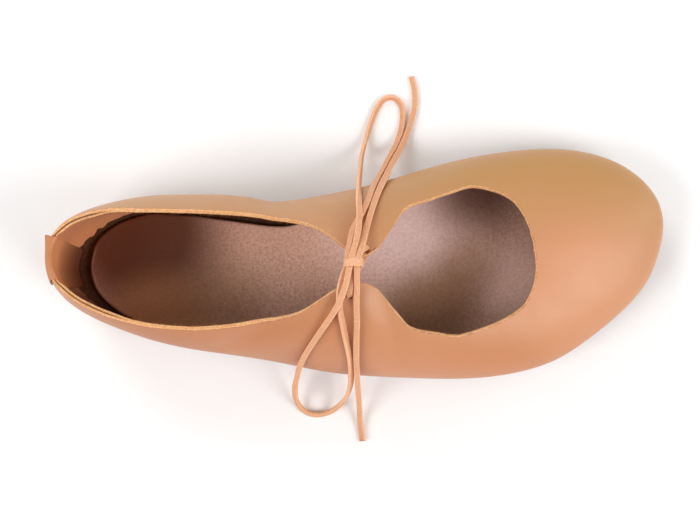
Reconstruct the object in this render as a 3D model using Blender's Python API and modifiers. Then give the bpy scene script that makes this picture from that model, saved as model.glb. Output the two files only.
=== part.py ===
"""Ballet flat with an instep tie: one right shoe as upper, outsole, insole, heel strip and leather lace.

Metres, +X to the toe, +Y to the medial side, +Z up, floor at z = 0, origin under the middle of the shoe.
"""
from collections import namedtuple

import bmesh
import bpy
import numpy as np
from mathutils import Vector

MM = 0.001

# Driving sizes of the shoe.
LENGTH = 251 * MM
BALL_WIDTH = 92.3 * MM
INSTEP_HEIGHT = 60 * MM
HEEL_HEIGHT = 52 * MM

# Layers, from the floor up.
GAP = 0.3 * MM
SOLE_THICK = 4.5 * MM
WALL = 1.8 * MM
INSOLE_THICK = 3.0 * MM
MARGIN = 7.0 * MM
TURN_BASE = SOLE_THICK + GAP
STEP_TOP = TURN_BASE + WALL
INSOLE_BASE = STEP_TOP + GAP

# Sole edge, measured out from the turn of the upper.
WELT = 3.4 * MM

# Toe spring and arch of the sole.
SPRING_FROM = 0.72
SPRING_RISE = 5.0 * MM
ARCH_RISE = 1.8 * MM
ARCH_AT = 0.41
ARCH_HALF = 0.18
ARCH_FLAT_Y = -20 * MM
ARCH_FULL_Y = 24 * MM

# Spine of the last, that the section columns lean to.
SPINE_REAR = 0.115
SPINE_FRONT = 0.745
SPINE_REAR_SOFT = 0.11
SPINE_FRONT_SOFT = 0.20

# Mesh densities.
COLUMNS = 60
WALL_ROWS = 8
PLATE_STATIONS = 40
PLATE_ACROSS = 5
CROWDING = 0.25

# Heel strip folded over the back of the collar.
STRIP_WIDTH = 21.4 * MM
STRIP_THICK = 1.4 * MM
STRIP_OUTSIDE = 12 * MM
STRIP_FOOT = 6.5 * MM
STRIP_CORNER_MEDIAL = 2.8 * MM
STRIP_CORNER_LATERAL = 0.9 * MM
STRIP_CORNER_EASE = 0.6
STRIP_COLUMNS = 8

# Lace and its holes.
LACE = 2.0 * MM
HOLE = 3.6 * MM
LACE_STEP = 5.5 * MM
KNOT_RING = 2.35 * MM
KNOT_TUBE = 1.0 * MM
KNOT_LONG = 1.55
KNOT_POINTS = 20
KNOT_AT = (0.0, -4.2 * MM, 61.0 * MM)

# A row per section, heel to toe: half widths in ball widths, crown in instep heights,
# height of the widest line in heel heights, fullness exponent, width of the turn under the foot.
Section = namedtuple("Section", "along medial lateral crown widest fullness turn")
SECTIONS = (
    Section(0.000, -0.007, -0.007, 1.180, 0.423, 2.78, 10.0 * MM),
    Section(0.022, 0.150, -0.156, 1.175, 0.408, 2.64, 9.6 * MM),
    Section(0.054, 0.216, -0.228, 1.165, 0.386, 2.42, 9.1 * MM),
    Section(0.098, 0.264, -0.286, 1.149, 0.358, 2.23, 8.2 * MM),
    Section(0.153, 0.299, -0.339, 1.106, 0.331, 2.02, 7.3 * MM),
    Section(0.225, 0.309, -0.384, 1.045, 0.310, 1.93, 6.8 * MM),
    Section(0.297, 0.304, -0.413, 1.008, 0.298, 1.90, 6.6 * MM),
    Section(0.369, 0.279, -0.444, 1.006, 0.290, 1.91, 6.5 * MM),
    Section(0.440, 0.302, -0.483, 1.018, 0.284, 1.96, 6.4 * MM),
    Section(0.520, 0.349, -0.506, 0.982, 0.277, 2.01, 6.4 * MM),
    Section(0.600, 0.414, -0.516, 0.867, 0.270, 2.06, 6.4 * MM),
    Section(0.679, 0.471, -0.517, 0.744, 0.262, 2.06, 6.4 * MM),
    Section(0.751, 0.503, -0.495, 0.666, 0.253, 2.01, 6.4 * MM),
    Section(0.823, 0.514, -0.434, 0.628, 0.243, 1.93, 6.7 * MM),
    Section(0.886, 0.489, -0.323, 0.621, 0.237, 1.86, 7.1 * MM),
    Section(0.938, 0.429, -0.203, 0.627, 0.234, 1.81, 7.5 * MM),
    Section(0.974, 0.347, -0.082, 0.635, 0.232, 1.77, 7.8 * MM),
    Section(0.994, 0.258, 0.055, 0.640, 0.231, 1.76, 8.0 * MM),
    Section(1.000, 0.157, 0.157, 0.642, 0.231, 1.75, 8.0 * MM),
)

# Side position of the spine in ball widths.
Spine = namedtuple("Spine", "along aside")
SPINE = (
    Spine(0.00, -0.008),
    Spine(0.12, -0.010),
    Spine(0.30, -0.057),
    Spine(0.50, -0.074),
    Spine(0.65, -0.025),
    Spine(0.75, 0.024),
    Spine(1.00, 0.090),
)

# Insole edge, measured in from the turn of the upper, by the place round the shoe.
Margin = namedtuple("Margin", "around slack")
INSOLE_EDGE = (
    Margin(0.00, 2.2 * MM),
    Margin(0.03, 1.6 * MM),
    Margin(0.06, 0.0 * MM),
    Margin(0.09, -1.5 * MM),
    Margin(0.13, -2.6 * MM),
    Margin(0.17, -2.2 * MM),
    Margin(0.21, -0.5 * MM),
    Margin(0.25, 0.8 * MM),
    Margin(0.29, 2.6 * MM),
    Margin(0.32, 3.2 * MM),
    Margin(0.38, 3.0 * MM),
    Margin(0.42, 1.8 * MM),
    Margin(0.50, -0.8 * MM),
    Margin(1.00, 0.5 * MM),
    Margin(1.55, -1.2 * MM),
    Margin(1.80, -1.8 * MM),
    Margin(1.87, -2.2 * MM),
    Margin(1.91, -1.2 * MM),
    Margin(1.94, 0.2 * MM),
    Margin(1.97, 1.5 * MM),
    Margin(2.00, 2.2 * MM),
)

# Leather height of the cut edge above the turn; around runs heel 0, toe 1 on the medial side, heel 2 on the lateral.
Cut = namedtuple("Cut", "around reach")
CUT = (
    Cut(0.000, 52.5 * MM),
    Cut(0.100, 53.0 * MM),
    Cut(0.180, 52.6 * MM),
    Cut(0.220, 50.5 * MM),
    Cut(0.260, 48.0 * MM),
    Cut(0.300, 46.6 * MM),
    Cut(0.330, 45.9 * MM),
    Cut(0.360, 45.9 * MM),
    Cut(0.380, 47.2 * MM),
    Cut(0.400, 49.7 * MM),
    Cut(0.430, 55.1 * MM),
    Cut(0.460, 62.2 * MM),
    Cut(0.485, 69.0 * MM),
    Cut(0.508, 72.6 * MM),
    Cut(0.530, 68.9 * MM),
    Cut(0.550, 60.2 * MM),
    Cut(0.568, 51.2 * MM),
    Cut(0.580, 49.1 * MM),
    Cut(0.600, 47.6 * MM),
    Cut(0.640, 43.0 * MM),
    Cut(0.675, 40.3 * MM),
    Cut(0.710, 42.0 * MM),
    Cut(0.750, 46.2 * MM),
    Cut(0.800, 55.3 * MM),
    Cut(0.850, 64.0 * MM),
    Cut(0.900, 71.0 * MM),
    Cut(0.945, 75.0 * MM),
    Cut(0.975, 76.2 * MM),
    Cut(1.005, 75.2 * MM),
    Cut(1.045, 71.9 * MM),
    Cut(1.100, 65.8 * MM),
    Cut(1.160, 57.7 * MM),
    Cut(1.220, 50.0 * MM),
    Cut(1.270, 45.3 * MM),
    Cut(1.320, 43.4 * MM),
    Cut(1.375, 42.7 * MM),
    Cut(1.417, 46.8 * MM),
    Cut(1.450, 52.0 * MM),
    Cut(1.470, 60.0 * MM),
    Cut(1.495, 71.0 * MM),
    Cut(1.515, 73.9 * MM),
    Cut(1.545, 71.9 * MM),
    Cut(1.570, 66.8 * MM),
    Cut(1.600, 59.6 * MM),
    Cut(1.650, 51.6 * MM),
    Cut(1.700, 46.3 * MM),
    Cut(1.750, 42.7 * MM),
    Cut(1.810, 41.6 * MM),
    Cut(1.860, 43.6 * MM),
    Cut(1.910, 48.0 * MM),
    Cut(1.950, 51.3 * MM),
    Cut(2.000, 52.5 * MM),
)

# Lace holes, one near the end of each tab.
Hole = namedtuple("Hole", "around reach")
HOLES = (
    Hole(0.5125, 69.0 * MM),
    Hole(1.530, 69.5 * MM),
)

# Runs of the lace in millimetres: the bar between the holes through the knot, then loops and ends to the floor.
Stop = namedtuple("Stop", "x y z")
BAR = (
    Stop(5.3, 3, 59.2),
    Stop(2.3, 0.3, 60.4),
    Stop(0, -2, 61),
    Stop(0, -4.2, 61),
    Stop(0, -6.5, 61),
    Stop(-0.4, -10, 60.8),
    Stop(-1.2, -17, 60),
)
LOOP_MEDIAL = (
    Stop(0, -2.3, 64),
    Stop(1.5, 4, 63),
    Stop(2.5, 10, 61),
    Stop(2.5, 16.5, 56),
    Stop(2, 21, 50),
    Stop(1.5, 27, 40),
    Stop(1, 32, 30),
    Stop(1, 38, 20),
    Stop(1, 44.5, 10),
    Stop(1.5, 49, 5),
    Stop(2.5, 53.5, 2.3),
    Stop(3.5, 57.5, 1.4),
    Stop(5.3, 63, 1.2),
    Stop(7.5, 68.2, 1.2),
    Stop(9, 70.4, 1.2),
    Stop(11, 71.9, 1.2),
    Stop(13.3, 72.3, 1.2),
    Stop(15.5, 71.6, 1.2),
    Stop(17.2, 69.9, 1.2),
    Stop(18.1, 67.5, 1.2),
    Stop(18.2, 63.5, 1.2),
    Stop(17.5, 58.5, 1.3),
    Stop(16, 53, 2.6),
    Stop(14.5, 49, 5.5),
    Stop(13, 45.5, 10),
    Stop(10.5, 38.5, 20),
    Stop(8.5, 33, 30),
    Stop(7, 27.5, 40),
    Stop(5, 20, 49.5),
    Stop(3, 15.5, 53.5),
    Stop(0, 9, 57.8),
    Stop(-1, 3, 61),
    Stop(-1.8, -2.3, 62.5),
)
END_MEDIAL = (
    Stop(2.5, -2.3, 64),
    Stop(4, 3, 62),
    Stop(5.5, 10.5, 57),
    Stop(7.5, 19, 50.5),
    Stop(10, 28, 40),
    Stop(12, 34, 30),
    Stop(13.5, 39.5, 20),
    Stop(16, 46, 10),
    Stop(18, 50.5, 5),
    Stop(19.5, 55, 2.2),
    Stop(21.5, 61, 1.2),
    Stop(23.2, 67.5, 1.2),
    Stop(23.3, 75, 1.2),
    Stop(22, 81, 1.2),
)
LOOP_LATERAL = (
    Stop(-1, -6.1, 63.3),
    Stop(-2.5, -13, 63.2),
    Stop(-4.5, -18.5, 62.8),
    Stop(-7, -23, 60.5),
    Stop(-10.5, -27.5, 56.5),
    Stop(-15, -33, 50.5),
    Stop(-20, -39, 40),
    Stop(-23, -43.2, 30),
    Stop(-25, -47.3, 20),
    Stop(-26.7, -52.5, 10),
    Stop(-26.5, -56.5, 5),
    Stop(-24.5, -60, 2.2),
    Stop(-21, -62.2, 1.3),
    Stop(-17, -62.5, 1.2),
    Stop(-12.5, -61.2, 2.1),
    Stop(-8.5, -58.5, 5),
    Stop(-5.5, -55.5, 10),
    Stop(-3, -50.5, 20),
    Stop(-2.2, -46, 30),
    Stop(-2, -41.2, 40),
    Stop(-3, -34, 50),
    Stop(-4, -28, 55.4),
    Stop(-5, -21.5, 59.2),
    Stop(-5, -15, 61.2),
    Stop(-4, -10.5, 61.6),
    Stop(-2.4, -6.1, 61.5),
)
END_LATERAL = (
    Stop(1.8, -6.1, 62.6),
    Stop(1.8, -12, 61.5),
    Stop(1.5, -20, 59),
    Stop(1.5, -27, 55.5),
    Stop(1, -34, 50),
    Stop(0.5, -42, 40),
    Stop(0.3, -47, 30),
    Stop(0, -51.6, 20),
    Stop(0, -57.2, 10),
    Stop(0, -61.2, 5),
    Stop(0, -65, 2.5),
    Stop(0.5, -69, 1.3),
    Stop(1, -73.5, 1.2),
)


def hermite(knots, values, slopes, where):
    """Cubic through rows of values with the given slopes."""
    where = np.asarray(where, float)
    cell = np.clip(np.searchsorted(knots, where, side="right") - 1, 0, len(knots) - 2)
    step = knots[cell + 1] - knots[cell]
    t = (where - knots[cell]) / step
    if values.ndim > 1:
        step = step[..., None]
        t = t[..., None]
    near = values[cell] * (2 * t ** 3 - 3 * t ** 2 + 1) + slopes[cell] * step * (t ** 3 - 2 * t ** 2 + t)
    far = values[cell + 1] * (3 * t ** 2 - 2 * t ** 3) + slopes[cell + 1] * step * (t ** 3 - t ** 2)
    return near + far


def read_table(rows, column, where):
    """Column of a table at the given positions, smooth and with no overshoot between rows."""
    knots = np.array([row[0] for row in rows])
    values = np.array([getattr(row, column) for row in rows])
    rate = np.diff(values) / np.diff(knots)
    slopes = np.zeros(len(rows))
    same = rate[:-1] * rate[1:] > 0
    slopes[1:-1][same] = 2 * rate[:-1][same] * rate[1:][same] / (rate[:-1] + rate[1:])[same]
    return hermite(knots, values, slopes, where)


def closed_curve(points, count):
    """Even closed curve with continuous curvature through the points."""
    total = len(points)
    after = np.linalg.norm(np.roll(points, -1, axis=0) - points, axis=1)
    before = np.roll(after, 1)
    system = np.zeros((total, total))
    order = np.arange(total)
    system[order, order - 1] = after
    system[order, order] = 2 * (before + after)
    system[order, (order + 1) % total] = before
    ahead = (np.roll(points, -1, axis=0) - points) * (before / after)[:, None]
    behind = (points - np.roll(points, 1, axis=0)) * (after / before)[:, None]
    slopes = np.linalg.solve(system, 3 * (ahead + behind))
    knots = np.concatenate(([0.0], np.cumsum(after)))
    where = np.linspace(0.0, knots[-1], count)
    ends = [0]
    return hermite(knots, points[np.r_[order, ends]], slopes[np.r_[order, ends]], where)


def widest_line():
    """Plan of the widest line: turn positions around the shoe and their points."""
    medial = [((row.along - 0.5) * LENGTH, row.medial * BALL_WIDTH) for row in SECTIONS]
    lateral = [((row.along - 0.5) * LENGTH, row.lateral * BALL_WIDTH) for row in SECTIONS[-2:0:-1]]
    line = closed_curve(np.array(medial + lateral), 4001)
    travel = np.concatenate(([0.0], np.cumsum(np.linalg.norm(np.diff(line, axis=0), axis=1))))
    toe = np.argmax(line[:, 0])
    ahead = travel / travel[toe]
    home = 1 + (travel - travel[toe]) / (travel[-1] - travel[toe])
    return np.where(travel <= travel[toe], ahead, home), line, travel[toe], travel[-1] - travel[toe]


AROUND, LINE, MEDIAL_RUN, LATERAL_RUN = widest_line()


def soft_limit(value, limit, soft):
    """Value held under a limit with a rounded knee."""
    knee = value - (value - limit + soft) ** 2 / (4 * soft)
    return np.where(value < limit - soft, value, np.where(value > limit + soft, limit, knee))


def lift(x, y):
    """Rise of the sole off the floor: toe spring and medial arch."""
    along = x / LENGTH + 0.5
    spring = np.clip((along - SPRING_FROM) / (1 - SPRING_FROM), 0, None) ** 2
    bump = np.cos(np.clip((along - ARCH_AT) / ARCH_HALF, -1, 1) * np.pi / 2) ** 2
    side = np.clip((y - ARCH_FLAT_Y) / (ARCH_FULL_Y - ARCH_FLAT_Y), 0, 1)
    return SPRING_RISE * spring + ARCH_RISE * bump * side ** 2 * (3 - 2 * side)


def column_base(around):
    """Widest point of each column, its direction to the spine, its distance and its place along the foot."""
    around = np.mod(np.asarray(around, float), 2)
    start = np.stack([np.interp(around, AROUND, LINE[:, axis]) for axis in (0, 1)], axis=-1)
    along = np.clip(start[:, 0] / LENGTH + 0.5, 0, 1)
    held = -soft_limit(-soft_limit(along, SPINE_FRONT, SPINE_FRONT_SOFT), -SPINE_REAR, SPINE_REAR_SOFT)
    aside = read_table(SPINE, "aside", held) * BALL_WIDTH
    spine = np.stack([(held - 0.5) * LENGTH, aside], axis=-1)
    span = np.linalg.norm(spine - start, axis=1)
    return start, (spine - start) / span[:, None], span, along


def inset_points(around, inset, height):
    """Points set in from the widest line along the columns, lifted with the sole."""
    start, inward, span, along = column_base(around)
    plan = start + inward * np.asarray(inset)[:, None]
    rise = height + lift(plan[:, 0], plan[:, 1])
    return np.column_stack([plan, rise])


def leather(around, reach):
    """Outer face of the upper at leather heights above the turn, and the direction out of it."""
    start, inward, span, along = column_base(around)
    crown = (read_table(SECTIONS, "crown", along) * INSTEP_HEIGHT)[:, None]
    widest = (read_table(SECTIONS, "widest", along) * HEEL_HEIGHT)[:, None]
    power = 2 / read_table(SECTIONS, "fullness", along)[:, None]
    turn = read_table(SECTIONS, "turn", along)[:, None]
    low = np.linspace(0, np.pi / 2, 25)[None, :]
    high = (np.linspace(0, 1, 121)[1:] ** 1.3 * np.pi / 2)[None, :]
    inset = np.hstack([turn * (1 - np.sin(low)), span[:, None] * (1 - np.cos(high) ** power)])
    rise_low = widest - (widest - TURN_BASE) * np.cos(low)
    rise_high = widest + (crown - widest) * np.sin(high) ** power
    rise = np.hstack([rise_low, rise_high])
    x = start[:, :1] + inward[:, :1] * inset
    y = start[:, 1:] + inward[:, 1:] * inset
    z = rise + lift(x, y) * (1 - (rise - TURN_BASE) / (crown - TURN_BASE))
    length = np.cumsum(np.hypot(np.diff(inset, axis=1), np.diff(rise, axis=1)), axis=1)
    length = np.hstack([np.zeros((len(x), 1)), length])
    points = np.zeros(reach.shape + (3,))
    out = np.zeros(reach.shape + (3,))
    for column in range(len(x)):
        for axis, field in enumerate((x, y, z)):
            points[column, :, axis] = np.interp(reach[column], length[column], field[column])
        run_in = np.interp(reach[column], length[column], np.gradient(inset[column], length[column]))
        run_up = np.interp(reach[column], length[column], np.gradient(rise[column], length[column]))
        out[column, :, :2] = -run_up[:, None] * inward[column]
        out[column, :, 2] = run_in
    return points, out / np.linalg.norm(out, axis=2)[..., None]


def graded_turns(count):
    """Positions heel to toe on one side, closer together at the tabs."""
    even = np.linspace(0, 1, count + 1)
    return even + CROWDING * np.sin(2 * np.pi * even) / (2 * np.pi)


def round_the_shoe(count):
    """Positions all round the shoe, heel first, medial side first."""
    turns = graded_turns(count)
    return np.concatenate([turns, 2 - turns[-2:0:-1]])


def add_object(name, mesh_data, colour, roughness):
    """Object of the shoe's collection with a material of its own."""
    item = bpy.data.objects.new(name, mesh_data)
    SHOE.objects.link(item)
    material = bpy.data.materials.new(name + "_material")
    material.use_nodes = True
    shader = material.node_tree.nodes["Principled BSDF"]
    shader.inputs["Base Color"].default_value = colour + (1.0,)
    shader.inputs["Roughness"].default_value = roughness
    mesh_data.materials.append(material)
    return item


def mesh_from(work, name, closed=True):
    """Mesh from a bmesh, with the faces of a closed body turned outward."""
    if closed:
        bmesh.ops.recalc_face_normals(work, faces=work.faces)
    data = bpy.data.meshes.new(name)
    work.to_mesh(data)
    work.free()
    return data


def add_ring(work, points):
    return [work.verts.new(point) for point in points]


def bridge(work, lower, upper, closed=True):
    """Quads between two rows of vertices."""
    total = len(lower)
    for here in range(total if closed else total - 1):
        there = (here + 1) % total
        work.faces.new((lower[here], lower[there], upper[there], upper[here]))


def fill_plate(work, ring, level):
    """Grid across a closed ring from its medial to its lateral side, at a level above the lifted sole."""
    stations = len(ring) // 2
    lines = []
    for station in range(1, stations):
        medial = ring[station]
        lateral = ring[-station]
        line = [medial]
        for part in range(1, PLATE_ACROSS):
            point = medial.co.lerp(lateral.co, part / PLATE_ACROSS)
            point.z = level + float(lift(point.x, point.y))
            line.append(work.verts.new(point))
        line.append(lateral)
        lines.append(line)
    for first, second in zip(lines[:-1], lines[1:]):
        bridge(work, first, second, closed=False)
    for tip, line in ((ring[0], lines[0]), (ring[stations], lines[-1])):
        for part in range(PLATE_ACROSS):
            work.faces.new((tip, line[part], line[part + 1]))


def layered_plate(name, layers):
    """Closed solid from rings bottom to top, each an inset from the turn and a height."""
    around = round_the_shoe(PLATE_STATIONS)
    along = column_base(around)[3]
    turn = read_table(SECTIONS, "turn", along)
    work = bmesh.new()
    rings = [add_ring(work, inset_points(around, turn + inset, height)) for inset, height in layers]
    for lower, upper in zip(rings[:-1], rings[1:]):
        bridge(work, lower, upper)
    fill_plate(work, rings[0], layers[0].height)
    fill_plate(work, rings[-1], layers[-1].height)
    return mesh_from(work, name)


def insole_layers():
    """Rings of the insole, its edge drawn in below where the wall turns under it."""
    around = round_the_shoe(PLATE_STATIONS)
    slack = read_table(INSOLE_EDGE, "slack", around)
    return (
        Layer(np.maximum(slack, -0.2 * MM) + 0.4 * MM, INSOLE_BASE),
        Layer(np.maximum(slack, -2.2 * MM), INSOLE_BASE + 1.4 * MM),
        Layer(slack, INSOLE_BASE + INSOLE_THICK - 0.7 * MM),
        Layer(slack + 0.8 * MM, INSOLE_BASE + INSOLE_THICK),
    )


def build_upper():
    """Shell of the upper: turned-in margin, walls and tabs up to the cut edge."""
    around = round_the_shoe(COLUMNS)
    cut = read_table(CUT, "reach", around)
    along = column_base(around)[3]
    turn = read_table(SECTIONS, "turn", along)
    low = np.array([0.0, 3.0, 6.5, 11.0]) * MM
    share = np.linspace(0, 1, WALL_ROWS + 1)[1:]
    reach = np.hstack([np.tile(low, (len(cut), 1)), low[-1] + (cut - low[-1])[:, None] * share])
    points, out = leather(around, reach)
    work = bmesh.new()
    rows = [add_ring(work, inset_points(around, turn + MARGIN, TURN_BASE))]
    rows += [add_ring(work, points[:, row]) for row in range(reach.shape[1])]
    for lower, upper in zip(rows[:-1], rows[1:]):
        bridge(work, lower, upper)
    bmesh.ops.reverse_faces(work, faces=work.faces)
    item = add_object("upper", mesh_from(work, "upper", False), (0.72, 0.38, 0.20), 0.55)
    shell = item.modifiers.new("wall", "SOLIDIFY")
    shell.thickness = WALL
    shell.offset = -1
    shell.use_even_offset = True
    shell.use_quality_normals = True
    for number, hole in enumerate(HOLES):
        cut_hole(item, hole, "lace_hole_%d" % (number + 1))
    return item


def cut_hole(item, hole, name):
    """Round hole through the wall at a leather position."""
    place, out = leather(np.array([hole.around]), np.array([[hole.reach]]))
    work = bmesh.new()
    bmesh.ops.create_cone(work, cap_ends=True, segments=16, radius1=HOLE / 2, radius2=HOLE / 2, depth=5 * WALL)
    cutter = bpy.data.objects.new(name, mesh_from(work, name))
    CUTTERS.objects.link(cutter)
    cutter.rotation_mode = "QUATERNION"
    cutter.rotation_quaternion = Vector(out[0, 0]).to_track_quat("Z", "Y")
    cutter.location = Vector(place[0, 0])
    cutter.hide_render = True
    cutter.display_type = "WIRE"
    drill = item.modifiers.new(name, "BOOLEAN")
    drill.operation = "DIFFERENCE"
    drill.solver = "EXACT"
    drill.object = cutter


def build_strip():
    """Leather strip folded over the back collar, inside down to the insole and a short way down outside."""
    side = np.linspace(-STRIP_WIDTH / 2, STRIP_WIDTH / 2, STRIP_COLUMNS + 1)
    share = side / (STRIP_WIDTH / 2)
    corner = np.zeros((len(side), 3))
    corner[:, 0] = -np.where(side >= 0, STRIP_CORNER_MEDIAL, STRIP_CORNER_LATERAL) * share ** 2
    around = np.where(side >= 0, side / MEDIAL_RUN, 2 + side / LATERAL_RUN)
    cut = read_table(CUT, "reach", around)
    inside = np.linspace(0, 1, 8)
    outside = np.linspace(0, 1, 5)
    rise = STRIP_FOOT + (cut - STRIP_FOOT)[:, None] * inside
    drop = cut[:, None] - STRIP_OUTSIDE * outside
    points_in, out_in = leather(around, rise)
    points_out, out_out = leather(around, drop)
    stand = WALL + GAP * (1 + (1 - inside) ** 4)
    rows = [points_in[:, row] - out_in[:, row] * stand[row] for row in range(len(inside))]
    edge = points_in[:, -1] - out_in[:, -1] * WALL / 2
    across = out_in[:, -1]
    upward = points_in[:, -1] - points_in[:, -2]
    upward = upward / np.linalg.norm(upward, axis=1)[:, None]
    radius = WALL / 2 + GAP
    for angle in np.radians((150, 120, 90, 60, 30)):
        fold_line = edge + across * radius * np.cos(angle) + upward * (radius * np.sin(angle) + GAP)
        rows.append(fold_line + corner * (1 + np.cos(angle)) / 2)
    ease = 1 - STRIP_CORNER_EASE * outside
    rows += [points_out[:, row] + out_out[:, row] * GAP + corner * ease[row] for row in range(len(outside))]
    work = bmesh.new()
    lines = [add_ring(work, row) for row in rows]
    for lower, upper in zip(lines[:-1], lines[1:]):
        bridge(work, lower, upper, closed=False)
    item = add_object("heel_strip", mesh_from(work, "heel_strip", False), (0.60, 0.30, 0.15), 0.6)
    fold = item.modifiers.new("wall", "SOLIDIFY")
    fold.thickness = STRIP_THICK
    fold.offset = 1
    fold.use_even_offset = True
    return item


def add_cord(name, points, radius, cyclic):
    """Round tube of lace leather along points."""
    data = bpy.data.curves.new(name, "CURVE")
    data.dimensions = "3D"
    data.bevel_depth = radius
    data.bevel_resolution = 2
    data.use_fill_caps = True
    spline = data.splines.new("POLY")
    spline.points.add(len(points) - 1)
    for slot, point in zip(spline.points, points):
        slot.co = (*point, 1.0)
    spline.use_cyclic_u = cyclic
    return add_object(name, data, (0.80, 0.44, 0.26), 0.6)


def build_lace(name, stops):
    """Tube read from a smooth curve through the stops of a run."""
    route = np.array(stops) * MM
    travel = np.concatenate(([0.0], np.cumsum(np.linalg.norm(np.diff(route, axis=0), axis=1))))
    slopes = np.gradient(route, travel, axis=0)
    where = np.linspace(0.0, travel[-1], int(travel[-1] / LACE_STEP) + 2)
    return add_cord(name, hermite(travel, route, slopes, where), LACE / 2, False)


def build_knot():
    """Band of the bow around the bar, a ring stretched along it."""
    angle = np.linspace(0, 2 * np.pi, KNOT_POINTS, endpoint=False)
    ring = np.stack([np.cos(angle), np.zeros(KNOT_POINTS), np.sin(angle)], axis=-1) * KNOT_RING
    item = add_cord("lace_knot", ring, KNOT_TUBE, True)
    item.scale.y = KNOT_LONG
    item.location = KNOT_AT
    return item


Layer = namedtuple("Layer", "inset height")
SOLE_LAYERS = (
    Layer(-WELT + 2.4 * MM, 0.0),
    Layer(-WELT + 0.7 * MM, 0.9 * MM),
    Layer(-WELT, 2.4 * MM),
    Layer(-WELT, SOLE_THICK - 0.4 * MM),
    Layer(-WELT + 0.4 * MM, SOLE_THICK),
    Layer(MARGIN + 0.6 * MM, SOLE_THICK),
    Layer(MARGIN + 1.0 * MM, STEP_TOP),
)

for old in list(bpy.data.objects):
    bpy.data.objects.remove(old)
SHOE = bpy.data.collections.new("ballet_flat")
CUTTERS = bpy.data.collections.new("cutters")
for folder in (SHOE, CUTTERS):
    bpy.context.scene.collection.children.link(folder)
CUTTERS.hide_render = True

add_object("outsole", layered_plate("outsole", SOLE_LAYERS), (0.06, 0.05, 0.065), 0.6)
build_upper()
add_object("insole", layered_plate("insole", insole_layers()), (0.42, 0.24, 0.17), 0.85)
build_strip()
build_lace("lace_bar", BAR)
build_knot()
build_lace("lace_loop_medial", LOOP_MEDIAL)
build_lace("lace_loop_lateral", LOOP_LATERAL)
build_lace("lace_end_medial", END_MEDIAL)
build_lace("lace_end_lateral", END_LATERAL)
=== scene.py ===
"""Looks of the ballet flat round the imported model: leather upper, insole, rubber sole, heel strip and lace.

Metres, +X to the toe, +Y to the medial side, +Z up, floor at z = 0, origin under the middle of the shoe.
"""
import math
from collections import namedtuple

import bmesh
import bpy
import numpy as np
from mathutils import Matrix, Vector, noise


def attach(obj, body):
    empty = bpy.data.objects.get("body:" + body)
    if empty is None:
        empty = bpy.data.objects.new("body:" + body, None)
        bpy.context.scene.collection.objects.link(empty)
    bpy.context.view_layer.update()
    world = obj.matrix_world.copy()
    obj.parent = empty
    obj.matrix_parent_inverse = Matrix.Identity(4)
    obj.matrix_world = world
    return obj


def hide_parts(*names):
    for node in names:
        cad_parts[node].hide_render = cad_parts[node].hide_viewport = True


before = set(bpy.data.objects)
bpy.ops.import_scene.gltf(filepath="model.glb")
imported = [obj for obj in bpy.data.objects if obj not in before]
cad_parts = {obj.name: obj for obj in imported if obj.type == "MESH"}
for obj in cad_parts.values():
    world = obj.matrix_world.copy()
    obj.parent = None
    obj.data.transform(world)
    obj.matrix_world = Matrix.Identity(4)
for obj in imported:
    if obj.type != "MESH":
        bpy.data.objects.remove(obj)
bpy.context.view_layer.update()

MM = 0.001


def table(columns, *rows):
    """Rows with named columns."""
    row_type = namedtuple("Row", columns)
    return tuple(row_type(*row) for row in rows)


# Camera at the photograph's angle, aimed at the middle of the shoe.
CAMERA_AT = (36.8 * MM, -68.2 * MM, 739 * MM)
CAMERA_AIM = (-3.2 * MM, -0.1 * MM, 20 * MM)
CAMERA_LENS = 90.3
CAMERA_SENSOR = 36
CAMERA_NEAR = 0.02
CAMERA_FAR = 20

# Floor, even light, and soft lamps by their angle from the toe to the medial side, height angle and power.
FLOOR_HALF = 8
SKY_STRENGTH = 0.38
LAMP_DISTANCE = 3.0
LAMP_SIZE = 1.85
LAMPS = table(
    "name azimuth elevation power",
    ("front_lateral_key", 330, 40, 48.0),
    ("rear_lateral_key", 210, 40, 43.0),
    ("medial_fill", 120, 27, 38.0),
    ("front_fill", 20, 20, 18.0),
)

# Sizes shared with the solids.
LENGTH = 251 * MM
BALL_WIDTH = 92.3 * MM
INSTEP_HEIGHT = 60 * MM
HEEL_HEIGHT = 52 * MM
GAP = 0.3 * MM
SOLE_THICK = 4.5 * MM
WALL = 1.8 * MM
INSOLE_THICK = 3.0 * MM
MARGIN = 7.0 * MM
TURN_BASE = SOLE_THICK + GAP
STEP_TOP = TURN_BASE + WALL
INSOLE_BASE = STEP_TOP + GAP
WELT = 3.4 * MM
STRIP_HALF = 10.7 * MM
STRIP_THICK = 1.4 * MM
STRIP_OUTSIDE = 12 * MM
STRIP_CORNER_MEDIAL = 2.8 * MM
STRIP_CORNER_LATERAL = 0.9 * MM
STRIP_CORNER_EASE = 0.6
SPRING_FROM = 0.72
SPRING_RISE = 5.0 * MM
ARCH_RISE = 1.8 * MM
ARCH_AT = 0.41
ARCH_HALF = 0.18
ARCH_FLAT_Y = -20 * MM
ARCH_FULL_Y = 24 * MM
SPINE_REAR = 0.115
SPINE_FRONT = 0.745
SPINE_REAR_SOFT = 0.11
SPINE_FRONT_SOFT = 0.20
CROWDING = 0.25

# Mesh densities of the dressed pieces, and samples that their curves are read from.
UPPER_COLUMNS = 320
PLATE_STATIONS = 240
PLATE_ACROSS = 60
LINE_SAMPLES = 8001
LOW_SAMPLES = 97
HIGH_SAMPLES = 481
HIGH_SAMPLE_CROWDING = 1.3
PATH_SAMPLES = 4000

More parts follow.
